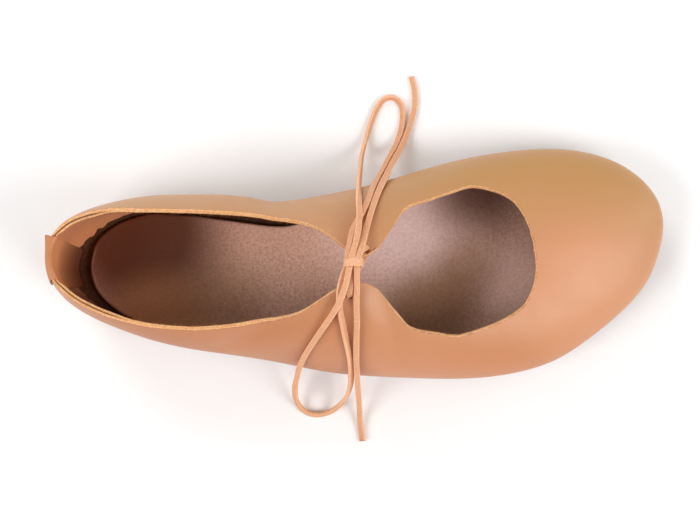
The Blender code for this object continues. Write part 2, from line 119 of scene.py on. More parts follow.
# Sections heel to toe: half widths in ball widths, crown in instep heights, height of the widest line
# in heel heights, fullness exponent, width of the turn under the foot in millimetres.
SECTIONS = table(
    "along medial lateral crown widest fullness turn",
    (0.000, -0.007, -0.007, 1.180, 0.423, 2.78, 10.0),
    (0.022, 0.150, -0.156, 1.175, 0.408, 2.64, 9.6),
    (0.054, 0.216, -0.228, 1.165, 0.386, 2.42, 9.1),
    (0.098, 0.264, -0.286, 1.149, 0.358, 2.23, 8.2),
    (0.153, 0.299, -0.339, 1.106, 0.331, 2.02, 7.3),
    (0.225, 0.309, -0.384, 1.045, 0.310, 1.93, 6.8),
    (0.297, 0.304, -0.413, 1.008, 0.298, 1.90, 6.6),
    (0.369, 0.279, -0.444, 1.006, 0.290, 1.91, 6.5),
    (0.440, 0.302, -0.483, 1.018, 0.284, 1.96, 6.4),
    (0.520, 0.349, -0.506, 0.982, 0.277, 2.01, 6.4),
    (0.600, 0.414, -0.516, 0.867, 0.270, 2.06, 6.4),
    (0.679, 0.471, -0.517, 0.744, 0.262, 2.06, 6.4),
    (0.751, 0.503, -0.495, 0.666, 0.253, 2.01, 6.4),
    (0.823, 0.514, -0.434, 0.628, 0.243, 1.93, 6.7),
    (0.886, 0.489, -0.323, 0.621, 0.237, 1.86, 7.1),
    (0.938, 0.429, -0.203, 0.627, 0.234, 1.81, 7.5),
    (0.974, 0.347, -0.082, 0.635, 0.232, 1.77, 7.8),
    (0.994, 0.258, 0.055, 0.640, 0.231, 1.76, 8.0),
    (1.000, 0.157, 0.157, 0.642, 0.231, 1.75, 8.0),
)

# Side position of the spine in ball widths.
SPINE = table(
    "along aside",
    (0.00, -0.008), (0.12, -0.010), (0.30, -0.057), (0.50, -0.074), (0.65, -0.025), (0.75, 0.024),
    (1.00, 0.090),
)

# Below, around is the place round the shoe: heel 0, toe 1 by the medial side, heel 2 by the lateral side.
# Insole edge in millimetres, measured in from the turn of the upper.
INSOLE_EDGE = table(
    "around slack",
    (0.00, 2.2), (0.03, 1.6), (0.06, 0.0), (0.09, -1.5), (0.13, -2.6), (0.17, -2.2), (0.21, -0.5),
    (0.25, 0.8), (0.29, 2.6), (0.32, 3.2), (0.38, 3.0), (0.42, 1.8), (0.50, -0.8), (1.00, 0.5),
    (1.55, -1.2), (1.80, -1.8), (1.87, -2.2), (1.91, -1.2), (1.94, 0.2), (1.97, 1.5), (2.00, 2.2),
)

# Leather height of the cut edge above the turn in millimetres.
CUT = table(
    "around reach",
    (0.000, 52.5), (0.100, 53.0), (0.180, 52.6), (0.220, 50.5), (0.260, 48.0), (0.300, 46.6), (0.330, 45.9),
    (0.360, 45.9), (0.380, 47.2), (0.400, 49.7), (0.430, 55.1), (0.460, 62.2), (0.485, 69.0), (0.508, 72.6),
    (0.530, 68.9), (0.550, 60.2), (0.568, 51.2), (0.580, 49.1), (0.600, 47.6), (0.640, 43.0), (0.675, 40.3),
    (0.710, 42.0), (0.750, 46.2), (0.800, 55.3), (0.850, 64.0), (0.900, 71.0), (0.945, 75.0), (0.975, 76.2),
    (1.005, 75.2), (1.045, 71.9), (1.100, 65.8), (1.160, 57.7), (1.220, 50.0), (1.270, 45.3), (1.320, 43.4),
    (1.375, 42.7), (1.417, 46.8), (1.450, 52.0), (1.470, 60.0), (1.495, 71.0), (1.515, 73.9), (1.545, 71.9),
    (1.570, 66.8), (1.600, 59.6), (1.650, 51.6), (1.700, 46.3), (1.750, 42.7), (1.810, 41.6), (1.860, 43.6),
    (1.910, 48.0), (1.950, 51.3), (2.000, 52.5),
)

# Lace holes, one near the end of each tab, in millimetres above the turn, and the dent round each.
HOLES = table("around reach", (0.5125, 69.8), (1.530, 69.5))
HOLE_RADIUS = 1.35 * MM
HOLE_LONG = 1.25
HOLE_SIDES = 40
PUNCH_LENGTH = 12 * MM
DENT_DEPTH = 0.5 * MM
DENT_HALF = 3.5 * MM

# Soft troughs (minus) and ridges of the upper: depth, half width and reach in millimetres.
# Lengths round the wall are taken as a share of the widest line. Each one fades towards its ends.
CREASE_RUN = 0.8
CREASE_END = 0.12
CREASES = table(
    "depth half stops",
    (-1.4, 3.4, ((1.500, 72.0), (1.490, 66.9), (1.478, 57.2), (1.468, 43.5), (1.462, 34.0))),
    (0.5, 4.5, ((1.470, 64.0), (1.455, 52.0), (1.445, 40.0))),
    (-1.2, 4.2, ((1.630, 55.0), (1.652, 48.7), (1.682, 39.5), (1.712, 26.6))),
    (0.4, 5.0, ((1.600, 50.0), (1.640, 38.0), (1.670, 27.0))),
    (-0.6, 4.5, ((0.360, 12.0), (0.368, 30.0), (0.378, 48.0))),
    (0.4, 5.0, ((0.335, 14.0), (0.340, 30.0), (0.350, 44.0))),
    (-0.5, 4.0, ((0.545, 62.0), (0.556, 50.0), (0.562, 36.0))),
)

# Uneven places of the leather: depth and size in millimetres, and a seed.
CUT_WAVE, CUT_NICKS, WALL_WAVE, EDGE_FIBRE, LINING_TEAR = table(
    "depth size seed", (0.22, 9, 1), (0.10, 2.2, 2), (0.22, 26, 3), (0.07, 0.8, 4), (2.4, 4, 12))
WALL_WAVE_LOW = 6 * MM
WALL_WAVE_HIGH = 20 * MM

# Rows of the upper: shares of the margin under the foot, millimetres up from the turn,
# then a number of rows up to the cut.
UNDER_ROWS = (1.0, 0.6, 0.25)
LOW_ROWS = (0.0, 0.8, 1.6, 2.5, 3.5, 4.6, 5.8, 7.0, 8.3, 9.7, 11.2)
HIGH_ROWS = 40
HIGH_ROW_CROWDING = 1.15

# Raw edge, from the outer to the inner face: share of the wall, and height in millimetres.
# The noise of its fibres is shifted from row to row.
RIM = table(
    "across drop",
    (0.0, -0.30), (0.06, -0.10), (0.2, 0.0), (0.36, -0.02), (0.45, -0.05), (0.5, -0.08), (0.56, -0.05),
    (0.66, -0.02), (0.8, 0.0), (0.94, -0.10), (1.0, -0.28),
)
RIM_RISE = 0.3 * MM
RIM_SHIFT = 3 * MM

# Lining in the heel: its ends round the shoe, its foot, its border and the thinner wall past it.
LINING_MEDIAL = 0.21
LINING_LATERAL = 0.20
LINING_RUN = 280 * MM
LINING_FOOT = 6.4 * MM
LINING_STEP = 1.2 * MM
LINING_BLUR = 6 * MM
LINING_BORDER = 0.4
UNLINED_THIN = 0.55 * MM
UNLINED_LOW = 2 * MM
UNLINED_HIGH = 8 * MM
COLLAR_FULL = 14 * MM

# Swollen collar round the heel, split by a groove, on both sides of the strip.
SWELL = 0.7 * MM
SWELL_MEDIAL = 0.15
SWELL_LATERAL = 0.17
SWELL_FADE = 12 * MM
SWELL_TOP = 1 * MM
SWELL_FROM_STRIP = 1 * MM
SWELL_FULL_FROM_STRIP = 5 * MM
GROOVE_AT = 0.52
GROOVE_HALF = 0.10
GROOVE_DEPTH = 0.55 * MM

# Loose fibres of the raw edge: how dense round the shoe, and their sizes in millimetres.
FIBRE_DENSITY = table(
    "around density",
    (0.0, 0), (0.05, 0), (0.10, 1.0), (0.36, 0.9), (0.42, 0.1), (0.55, 0.1), (0.66, 0.4), (0.72, 1.0),
    (0.86, 0.9), (0.95, 0.3), (1.15, 0.3), (1.25, 1.0), (1.42, 1.0), (1.48, 0.1), (1.60, 0.1), (1.68, 1.0),
    (1.92, 1.0), (1.96, 0), (2.0, 0),
)
FIBRE_SEED = 11
FIBRES_EACH = 6.0
FIBRE_LENGTH = (0.4, 1.5)
FIBRE_HALF = (0.035, 0.065)
FIBRE_BEND = 0.25
FIBRE_ROOT_FROM = 0.55
FIBRE_ROOT_SPREAD = 0.5
FIBRE_INWARD = (0.2, 1.0)
FIBRE_UPWARD = (-0.5, 0.9)
FIBRE_STRAY = 0.7
FIBRE_TILT = 0.01
FIBRE_GOLD_SPREAD = 0.25
FIBRE_GOLD_MEDIAL = 0.35
FIBRE_GOLD_LATERAL = 0.75
FIBRE_RINGS = ((0.0, 1.0), (0.5, 0.8))
FIBRE_CORNERS = (0, 2.1, 4.2)

# Insole: rounded upper edge, a foot held off the wall, and a dish worn by the foot.
INSOLE_ROUND = 0.9 * MM
INSOLE_ROUND_ANGLES = (0, 30, 55, 75, 90)
INSOLE_FOOT_OUT = -0.2 * MM
INSOLE_FOOT_INSET = 0.4 * MM
INSOLE_WAIST_OUT = -2.2 * MM
INSOLE_WAIST_HEIGHT = 1.4 * MM
INSOLE_DISH = 0.35 * MM

# Side of the sole from the floor up, inset from its widest line, in millimetres,
# then the step inside the upper.
SOLE_PROFILE = table(
    "inset height",
    (2.4, 0.0), (1.75, 0.18), (1.2, 0.5), (0.7, 0.95), (0.3, 1.6), (0.08, 2.1), (0.0, 2.6), (0.0, 3.9),
    (0.06, 4.2), (0.18, 4.38), (0.4, 4.5), (0.8, 4.5),
)
SOLE_RIM = 1.0 * MM
STEP_FOOT = 0.6 * MM
STEP_HEAD = 1.0 * MM

# Tread of square pits on a slanted grid swung in two crossing waves.
TREAD_CELL = 2.15 * MM
TREAD_RIDGE = 0.36 * MM
TREAD_DEPTH = 1.2 * MM
TREAD_MOUTH = 1 - 2 * TREAD_RIDGE / TREAD_CELL
TREAD_FLOOR = 0.46
TREAD_WAVE = 20.0 * MM
TREAD_SWING = 2.4 * MM
TREAD_TURN = math.radians(14)
TREAD_CLEAR = 0.5 * MM
TREAD_ROWS = range(-70, 71)
TREAD_COLUMNS = range(-44, 45)
CELL_CORNERS = ((0, 0), (1, 0), (1, 1), (0, 1))
CELL_SIDES = ((1, 0), (-1, 0), (0, 1), (0, -1))

# Heel strip: its foot reaches lower than in the solid.
STRIP_FOOT = 4.0 * MM
STRIP_RISE = 0.3 * MM
STRIP_COLUMNS = 61
STRIP_ROWS_INSIDE = 36
STRIP_ROWS_OUTSIDE = 16
STRIP_FOLD = np.radians(np.linspace(170, 10, 15))
STRIP_SIDE_THIN = 0.35
STRIP_SIDE_POWER = 14
STRIP_ENDS = (0.55, 0.85, 0.97)
# Rows from the top of the inner face where its painted light fades out over the fold.
STRIP_TINT_ROWS = (6, -2)

# Lace: flat thong, knot, and runs with their stops in millimetres.
LACE_WIDTH = 2.3 * MM
LACE_THICK = 1.45 * MM
LACE_ROUND = 0.3 * MM
LACE_CUT_SIDE = (0.60, 0.92)
LACE_UNEVEN = 0.06
LACE_UNEVEN_SIZE = 6 * MM
LACE_FLOOR = 0.05 * MM
LACE_STEP = 0.7 * MM
LACE_SOFTEN = 6
LACE_AXIS = (0, -3 * MM, 14 * MM)
LACE_LEAN = 0.2
LACE_LIFT = 14 * MM
LACE_LAID = 3 * MM
LACE_STEADY = 9
BAR_THICK = 1.2 * MM
BAR_SEED = 9
BAND_AT = (0.5 * MM, -4.2 * MM, 61.1 * MM)
BAND_POINTS = 72
BAND_HALF = 3.3 * MM
BAND_RISE = 2.75 * MM
BAND_SQUARE = 0.75
BAND_SWAY = 0.25 * MM
BAND_SWAY_TURN = 0.6
BAND_WIDTH = 3.2 * MM
BAND_THICK = 1.2 * MM
BAND_UNEVEN = 0.08
BAND_UNEVEN_TURN = 0.4
BAR = (
    (1.3, -7, 53.3), (3.2, -3.2, 53.4), (4.7, -0.7, 54.3), (5.3, 1.0, 55.8), (5.3, 1.9, 57.8),
    (4.5, 1.5, 60.2), (2.7, 0, 61), (0.9, -1.9, 61.3), (0, -4.2, 61), (0, -6.2, 61), (-0.4, -10, 60.9),
    (-1, -13.7, 60.9), (-1.2, -16.0, 60.2), (-1.2, -16.8, 58.2), (-1.1, -16.6, 55.8), (-0.7, -14.0, 53.9),
    (0.2, -10.6, 53.3), (1.3, -7, 53.3),
)
LOOP_MEDIAL = (
    (0, -2.3, 64), (1.5, 4, 63), (2.5, 10, 61), (2.5, 16.5, 56), (2, 21, 50), (1.5, 27, 40),
    (1, 32, 30), (1, 38, 20), (1, 44.5, 10), (1.5, 49, 5), (2.5, 53.5, 2.3), (3.5, 57.5, 1.4),
    (5.3, 63, 1.2), (7.5, 68.2, 1.2), (9, 70.4, 1.2), (11, 71.9, 1.2), (13.3, 72.3, 1.2),
    (15.5, 71.6, 1.2), (17.2, 69.9, 1.2), (18.1, 67.5, 1.2), (18.2, 63.5, 1.2), (17.5, 58.5, 1.3),
    (16, 53, 2.6), (14.5, 49, 5.5), (13, 45.5, 10), (10.5, 38.5, 20), (8.5, 33, 30), (7, 27.5, 40),
    (5, 20, 49.5), (3, 15.5, 53.5), (0, 9, 57.8), (-1, 3, 61), (-1.8, -2.3, 62.5),
)
END_MEDIAL = (
    (2.5, -2.3, 64), (4, 3, 62), (5.5, 10.5, 57), (7.5, 19, 50.5), (10, 28, 40), (12, 34, 30),
    (13.5, 39.5, 20), (16, 46, 10), (18, 50.5, 5), (19.5, 55, 2.2), (21.5, 61, 1.2),
    (23.2, 67.5, 1.2), (23.3, 75, 1.2), (22, 81, 1.2),
)
LOOP_LATERAL = (
    (-1, -6.1, 63.3), (-2.5, -13, 63.2), (-4.5, -18.5, 62.8), (-7, -23, 60.5), (-10.5, -27.5, 56.5),
    (-15, -33, 50.5), (-20, -39, 40), (-23, -43.2, 30), (-25, -47.3, 20), (-26.7, -52.5, 10),
    (-26.5, -56.5, 5), (-24.5, -60, 2.2), (-21, -62.2, 1.3), (-17, -62.5, 1.2), (-12.5, -61.2, 2.1),
    (-8.5, -58.5, 5), (-5.5, -55.5, 10), (-3, -50.5, 20), (-2.2, -46, 30), (-2, -41.2, 40),
    (-3, -34, 50), (-4, -28, 55.4), (-5, -21.5, 59.2), (-5, -15, 61.2), (-4, -10.5, 61.6),
    (-2.4, -6.1, 61.5),
)
END_LATERAL = (
    (1.8, -6.1, 62.6), (1.8, -12, 61.5), (1.5, -20, 59), (1.5, -27, 55.5), (1, -34, 50),
    (0.5, -42, 40), (0.3, -47, 30), (0, -51.6, 20), (0, -57.2, 10), (0, -61.2, 5), (0, -65, 2.5),
    (0.5, -69, 1.3), (1, -73.5, 1.2),
)

# Runs of the bow with their stops inside the band,
# and rolls of the flat side in degrees by the share of the run.
RUNS = table(
    "name stops rolls far_end seed",
    ("lace_loop_medial", ((0.0, -4.2, 62.2),) + LOOP_MEDIAL + ((-1.2, -4.2, 61.4),),
     ((0, 0), (0.12, 20), (0.2, 60), (0.4, 80), (0.46, 45), (0.5, 60), (0.56, 30), (0.8, 0), (1, 30)),
     "knot", 5),
    ("lace_end_medial", ((1.3, -4.2, 62.2),) + END_MEDIAL,
     ((0, 0), (0.3, 5), (0.6, 30), (0.8, 10), (1, -20)), "bare", 6),
    ("lace_loop_lateral", ((-0.6, -4.2, 62.2),) + LOOP_LATERAL + ((-1.2, -4.2, 61.4),),
     ((0, 10), (0.15, 15), (0.35, 10), (0.5, 60), (0.62, 60), (0.7, 35), (0.8, 70), (0.92, 30), (1, 10)),
     "knot", 7),
    ("lace_end_lateral", ((1.5, -3.6, 62.3), (1.8, -6, 62.7), (1.8, -8.6, 62.4)) + END_LATERAL[1:],
     ((0, 0), (0.4, 8), (0.7, -15), (1, 30)), "bare", 8),
)

# Soft patches of painted light and shade in millimetres: middle, radius of full strength, radius where it ends,
# then strength and tone. On the upper: a painted highlight on the lateral vamp and painted redder shade along
# the lateral wall. On the insole: painted pools of light in the middle and front, and painted shadow of the
# walls at the heel and along the lateral side and of the vamp over the front opening.
PATCH = "middle full clear strength colour"
UPPER_LIGHT_AND_SHADE = table(
    PATCH,
    ((90, -13, 35), 12, 40, 0.9, (209, 145, 105)),
    ((-45, -34, 28), 18, 62, 0.85, (187, 118, 75)),
    ((-95, -28, 26), 14, 46, 0.85, (177, 103, 50)),
)
INSOLE_LIGHT_AND_SHADE = table(
    PATCH,
    ((17, 18, 10), 6, 44, 0.95, (255, 214, 205)),
    ((66, -8, 10), 6, 26, 0.6, (254, 210, 192)),
    ((-66, -26, 10), 14, 42, 0.6, (151, 99, 50)),
    ((30, -21, 10), 8, 28, 0.7, (151, 99, 46)),
    ((44, -2, 10), 3, 19, 0.55, (151, 99, 54)),
    ((50, 32, 12), 5, 31, 0.85, (108, 60, 42)),
    ((-92, 13, 10), 17, 48, 1.0, (106, 54, 28)),
    ((-84, -27, 10), 10, 32, 0.8, (190, 127, 82)),
)


def hermite(knots, values, slopes, where):
    """Cubic through rows of values with the given slopes."""
    where = np.asarray(where, float)
    cell = np.clip(np.searchsorted(knots, where, side="right") - 1, 0, len(knots) - 2)
    step = knots[cell + 1] - knots[cell]
    t = (where - knots[cell]) / step
    if values.ndim > 1:
        step = step[..., None]
        t = t[..., None]
    near = values[cell] * (2 * t ** 3 - 3 * t ** 2 + 1) + slopes[cell] * step * (t ** 3 - 2 * t ** 2 + t)
    far = values[cell + 1] * (3 * t ** 2 - 2 * t ** 3) + slopes[cell + 1] * step * (t ** 3 - t ** 2)
    return near + far


def read_table(rows, column, where):
    """Column of a table at the given positions, smooth and with no overshoot between rows."""
    knots = np.array([row[0] for row in rows])
    values = np.array([getattr(row, column) for row in rows])
    rate = np.diff(values) / np.diff(knots)
    slopes = np.zeros(len(rows))
    same = rate[:-1] * rate[1:] > 0
    slopes[1:-1][same] = 2 * rate[:-1][same] * rate[1:][same] / (rate[:-1] + rate[1:])[same]
    return hermite(knots, values, slopes, where)


def travelled(points):
    """Distance from the start at each point of a line."""
    return np.concatenate(([0.0], np.cumsum(np.linalg.norm(np.diff(points, axis=0), axis=1))))


def read_line(places, points, where):
    """Points of a line at the given places along it."""
    return np.stack([np.interp(where, places, axis) for axis in points.T], axis=-1)


def unit(vectors):
    """Vectors brought to length 1."""
    return vectors / np.linalg.norm(vectors, axis=-1)[..., None]


def square_to(vectors, ahead):
    """Unit vectors turned square to the directions ahead."""
    return unit(vectors - ahead * (vectors * ahead).sum(1)[:, None])


def smooth_step(low, high, value):
    """Rise from 0 to 1 as a value goes from low to high, with soft ends."""
    t = np.clip((value - low) / (high - low), 0, 1)
    return t * t * (3 - 2 * t)


def soft_limit(value, limit, soft):
    """Value held under a limit with a rounded knee."""
    knee = value - (value - limit + soft) ** 2 / (4 * soft)
    return np.where(value < limit - soft, value, np.where(value > limit + soft, limit, knee))


def drift(points, size, seed):
    """Smooth noise from -1 to 1 at points, with features of the given size."""
    shift = Vector((seed * 7.3, seed * 3.1, seed * 5.7))
    flat = points.reshape(-1, 3) / size
    values = [noise.noise(Vector(point) + shift) for point in flat]
    return np.array(values).reshape(points.shape[:-1])


def ripple(points, row):
    """Uneven height in metres at points, by a row of depth, size and seed."""
    return row.depth * MM * drift(points, row.size * MM, row.seed)


def on_line(run):
    """Points along one axis, for reading noise along an edge."""
    return np.column_stack([run, np.zeros((len(run), 2))])


def closed_curve(points, count):
    """Even closed curve with continuous curvature through the points."""
    total = len(points)
    after = np.linalg.norm(np.roll(points, -1, axis=0) - points, axis=1)
    before = np.roll(after, 1)
    system = np.zeros((total, total))
    order = np.arange(total)
    system[order, order - 1] = after
    system[order, order] = 2 * (before + after)
    system[order, (order + 1) % total] = before
    ahead = (np.roll(points, -1, axis=0) - points) * (before / after)[:, None]
    behind = (points - np.roll(points, 1, axis=0)) * (after / before)[:, None]
    slopes = np.linalg.solve(system, 3 * (ahead + behind))
    knots = np.concatenate(([0.0], np.cumsum(after)))
    closed = np.append(order, 0)
    return hermite(knots, points[closed], slopes[closed], np.linspace(0.0, knots[-1], count))


def widest_line():
    """Plan of the widest line: places around the shoe, their points and the length of each side."""
    medial = [((row.along - 0.5) * LENGTH, row.medial * BALL_WIDTH) for row in SECTIONS]
    lateral = [((row.along - 0.5) * LENGTH, row.lateral * BALL_WIDTH) for row in SECTIONS[-2:0:-1]]
    line = closed_curve(np.array(medial + lateral), LINE_SAMPLES)
    travel = travelled(line)
    medial_run = travel[np.argmax(line[:, 0])]
    lateral_run = travel[-1] - medial_run
    around = np.where(travel <= medial_run, travel / medial_run, 1 + (travel - medial_run) / lateral_run)
    return around, line, medial_run, lateral_run


AROUND, LINE, MEDIAL_RUN, LATERAL_RUN = widest_line()


def lift(x, y):
    """Rise of the sole off the floor: toe spring and medial arch."""
    along = x / LENGTH + 0.5
    spring = np.clip((along - SPRING_FROM) / (1 - SPRING_FROM), 0, None) ** 2
    bump = np.cos(np.clip((along - ARCH_AT) / ARCH_HALF, -1, 1) * np.pi / 2) ** 2
    return SPRING_RISE * spring + ARCH_RISE * bump * smooth_step(ARCH_FLAT_Y, ARCH_FULL_Y, y)


def column_base(around):
    """Widest point of each column, its direction to the spine, its distance and its place along the foot."""
    around = np.mod(np.asarray(around, float), 2)
    start = read_line(AROUND, LINE, around)
    along = np.clip(start[:, 0] / LENGTH + 0.5, 0, 1)
    held = -soft_limit(-soft_limit(along, SPINE_FRONT, SPINE_FRONT_SOFT), -SPINE_REAR, SPINE_REAR_SOFT)
    aside = read_table(SPINE, "aside", held) * BALL_WIDTH
    spine = np.stack([(held - 0.5) * LENGTH, aside], axis=-1)
    span = np.linalg.norm(spine - start, axis=1)
    return start, (spine - start) / span[:, None], span, along


def inset_points(around, inset, height):
    """Points set in from the widest line along the columns, lifted with the sole."""
    start, inward, span, along = column_base(around)
    plan = start + inward * np.asarray(inset)[:, None]
    return np.column_stack([plan, height + lift(plan[:, 0], plan[:, 1])])


def turn_width(around):
    """Width of the turn under the foot."""
    return read_table(SECTIONS, "turn", column_base(around)[3]) * MM


def cut_reach(around):
    """Leather height of the cut edge above the turn."""
    return read_table(CUT, "reach", np.mod(around, 2)) * MM


def from_heel(around):
    """Place round the shoe, counted from the heel on either side."""
    return np.minimum(around, 2 - around)


def leather(around, reach):
    """Outer face of the upper at leather heights above the turn, and the direction out of it."""
    start, inward, span, along = column_base(around)
    crown = (read_table(SECTIONS, "crown", along) * INSTEP_HEIGHT)[:, None]
    widest = (read_table(SECTIONS, "widest", along) * HEEL_HEIGHT)[:, None]
    power = 2 / read_table(SECTIONS, "fullness", along)[:, None]
    turn = turn_width(around)[:, None]
    low = np.linspace(0, np.pi / 2, LOW_SAMPLES)[None, :]
    high = (np.linspace(0, 1, HIGH_SAMPLES)[1:] ** HIGH_SAMPLE_CROWDING * np.pi / 2)[None, :]
    inset = np.hstack([turn * (1 - np.sin(low)), span[:, None] * (1 - np.cos(high) ** power)])
    rise_low = widest - (widest - TURN_BASE) * np.cos(low)
    rise_high = widest + (crown - widest) * np.sin(high) ** power
    rise = np.hstack([rise_low, rise_high])
    x = start[:, :1] + inward[:, :1] * inset
    y = start[:, 1:] + inward[:, 1:] * inset
    z = rise + lift(x, y) * (1 - (rise - TURN_BASE) / (crown - TURN_BASE))
    length = np.cumsum(np.hypot(np.diff(inset, axis=1), np.diff(rise, axis=1)), axis=1)
    length = np.hstack([np.zeros((len(x), 1)), length])
    points = np.zeros(reach.shape + (3,))
    out = np.zeros(reach.shape + (3,))
    for column in range(len(x)):
        for axis, field in enumerate((x, y, z)):
            points[column, :, axis] = np.interp(reach[column], length[column], field[column])
        run_in = np.interp(reach[column], length[column], np.gradient(inset[column], length[column]))
        run_up = np.interp(reach[column], length[column], np.gradient(rise[column], length[column]))
        out[column, :, :2] = -run_up[:, None] * inward[column]
        out[column, :, 2] = run_in
    return points, unit(out)


def round_the_shoe(count):
    """Positions all round the shoe, heel first, medial side first, closer together at the tabs."""
    even = np.linspace(0, 1, count + 1)
    turns = even + CROWDING * np.sin(2 * np.pi * even) / (2 * np.pi)
    return np.concatenate([turns, 2 - turns[-2:0:-1]])


def tone(red, green, blue):
    """Linear colour from screen values."""
    screen = np.array([red, green, blue]) / 255
    linear = np.where(screen <= 0.04045, screen / 12.92, ((screen + 0.055) / 1.055) ** 2.4)
    return (*linear.tolist(), 1.0)


class Look:
    """Node material around one shader, with short calls for the textures that it uses."""

    def __init__(self, name, roughness, specular=0.5, coat=0.0, coat_roughness=0.3, sheen=0.0):
        self.material = bpy.data.materials.new(name)
        self.material.use_nodes = True
        self.nodes = self.material.node_tree.nodes
        self.links = self.material.node_tree.links
        self.shader = self.nodes["Principled BSDF"]
        self.set("Roughness", roughness)
        self.set("Specular IOR Level", specular)
        self.set("Coat Weight", coat)
        self.set("Coat Roughness", coat_roughness)
        self.set("Sheen Weight", sheen)
        self.place = self.add("TexCoord", "Object")

    def set(self, socket, value):
        """Constant or link into the shader."""
        self.feed(self.shader.inputs[socket], value)

    def feed(self, target, value):
        """Constant or link into a socket."""
        if isinstance(value, bpy.types.NodeSocket):
            self.links.new(value, target)
        else:
            target.default_value = value

    def add(self, kind, output, inputs=(), **settings):
        """Output of a new node, with its settings, and its inputs by name or number."""
        node = self.nodes.new("ShaderNode" + kind)
        for name, value in settings.items():
            setattr(node, name, value)
        for socket, value in dict(inputs).items():
            self.feed(node.inputs[socket], value)
        return node.outputs[output]

    def noise(self, size, detail=3.0, rough=0.5):
        """Cloudy value with features of a size in metres."""
        inputs = {"Vector": self.place, "Scale": 1 / size, "Detail": detail, "Roughness": rough}
        return self.add("TexNoise", "Fac", inputs)

    def cells(self, size):
        """Distance inside cells of a size in metres."""
        return self.add("TexVoronoi", "Distance", {"Vector": self.place, "Scale": 1 / size})

    def attribute(self, name):
        """Value kept at the points of the mesh."""
        return self.add("Attribute", "Fac", attribute_name=name)

    def axis(self, letter):
        """One coordinate of the shoe in metres."""
        return self.add("SeparateXYZ", letter, {"Vector": self.place})

    def range(self, value, low, high, start=0.0, end=1.0, **settings):
        """Value between low and high brought to start and end."""
        return self.add("MapRange", "Result", enumerate((value, low, high, start, end)), **settings)

    def mix(self, factor, first, second):
        """Colour between two colours."""
        return self.add("Mix", 2, {0: factor, 6: first, 7: second}, data_type="RGBA")

    def blend(self, value, low, high, first, second, most=1.0):
        """Colour that goes from first to second, or a share of the way, as a value goes from low to high."""
        return self.mix(self.range(value, low, high, 0.0, most), first, second)

    def paint_light_and_shade(self, base, patch):
        """Base colour with one soft round patch of painted light and shade over it."""
        middle = [item * MM for item in patch.middle]
        away = self.add("VectorMath", "Value", {0: self.place, 1: middle}, operation="DISTANCE")
        share = self.range(away, patch.full * MM, patch.clear * MM, patch.strength, 0.0,
                           interpolation_type="SMOOTHSTEP")
        return self.mix(share, base, tone(*patch.colour))

    def bump(self, height, depth, under=None):
        """Relief of a height value from 0 to 1 over a depth in metres, over an earlier relief."""
        inputs = {"Strength": 1.0, "Distance": depth, "Height": height}
        if under:
            inputs["Normal"] = under
        return self.add("Bump", "Normal", inputs)


def upper_look():
    """Smooth finished calf leather, tan with a rosy cast, with fine grain, and painted light and shade."""
    look = Look("upper_grain", 0.5, specular=0.45, coat=0.06, coat_roughness=0.42)
    mottle = look.noise(9 * MM)
    pores = look.cells(0.7 * MM)
    aside = look.axis("Y")
    base = look.blend(look.noise(60 * MM, 2.0), 0.3, 0.7, tone(198, 139, 98), tone(201, 143, 101))
    # Painted shade by side: darker and yellower towards the medial side, redder towards the lateral side.
    base = look.blend(aside, 1 * MM, 36 * MM, base, tone(186, 138, 83))
    base = look.blend(aside, -14 * MM, -42 * MM, base, tone(197, 130, 88))
    # Painted highlight on the lateral vamp and painted redder shade along the lateral wall.
    for patch in UPPER_LIGHT_AND_SHADE:
        base = look.paint_light_and_shade(base, patch)
    base = look.blend(mottle, 0.35, 0.75, base, tone(190, 131, 91), 0.16)
    look.set("Base Color", look.blend(pores, 0.25, 0.0, base, tone(146, 90, 56), 0.10))
    look.set("Roughness", look.range(mottle, 0.3, 0.7, 0.42, 0.47))
    soft = look.bump(look.noise(3.5 * MM), 0.05 * MM)
    look.set("Normal", look.bump(pores, 0.03 * MM, soft))
    return look.material


def edge_look():
    """Raw cut edge of the leather: pale orange fibres with darker pits."""
    look = Look("cut_edge", 0.85, specular=0.25, sheen=0.15)
    fibre = look.noise(0.6 * MM, 4.0, 0.7)
    base = look.blend(fibre, 0.35, 0.65, tone(204, 138, 86), tone(252, 200, 146))
    base = look.blend(look.noise(5 * MM, 2.0), 0.45, 0.7, base, tone(212, 144, 86), 0.4)
    look.set("Base Color", look.mix(look.attribute("seam"), base, tone(92, 48, 18)))
    look.set("Normal", look.bump(fibre, 0.14 * MM))
    return look.material


def inner_look():
    """Inside of the wall: dark napped flesh side, and smooth reddish heel lining with painted lateral shade."""
    look = Look("inner_wall", 0.9, specular=0.2, sheen=0.1)
    nap = look.noise(1.1 * MM, 5.0, 0.7)
    pores = look.cells(0.9 * MM)
    torn = look.noise(1.6 * MM)
    flesh = look.blend(nap, 0.3, 0.7, tone(58, 30, 15), tone(108, 66, 40))
    flesh = look.blend(look.noise(12 * MM), 0.4, 0.7, flesh, tone(56, 29, 17), 0.5)
    lining = look.blend(look.noise(20 * MM), 0.3, 0.7, tone(220, 144, 97), tone(234, 158, 110))
    # Painted shade: the lining darkens towards the lateral side.
    lining = look.blend(look.axis("Y"), 2 * MM, -13 * MM, lining, tone(128, 76, 48))
    lining = look.blend(pores, 0.25, 0.0, lining, tone(112, 62, 38), 0.25)
    border_start = look.range(torn, 0.3, 0.7, 0.41, 0.53)
    border_end = look.range(torn, 0.3, 0.7, 0.47, 0.59)
    lined = look.range(look.attribute("lined"), border_start, border_end)
    look.set("Base Color", look.mix(lined, flesh, lining))
    look.set("Roughness", look.range(lined, 0.0, 1.0, 0.95, 0.55))
    rough = look.bump(nap, look.range(lined, 0.0, 1.0, 0.2 * MM, 0.02 * MM))
    look.set("Normal", look.bump(pores, 0.04 * MM, rough))
    return look.material


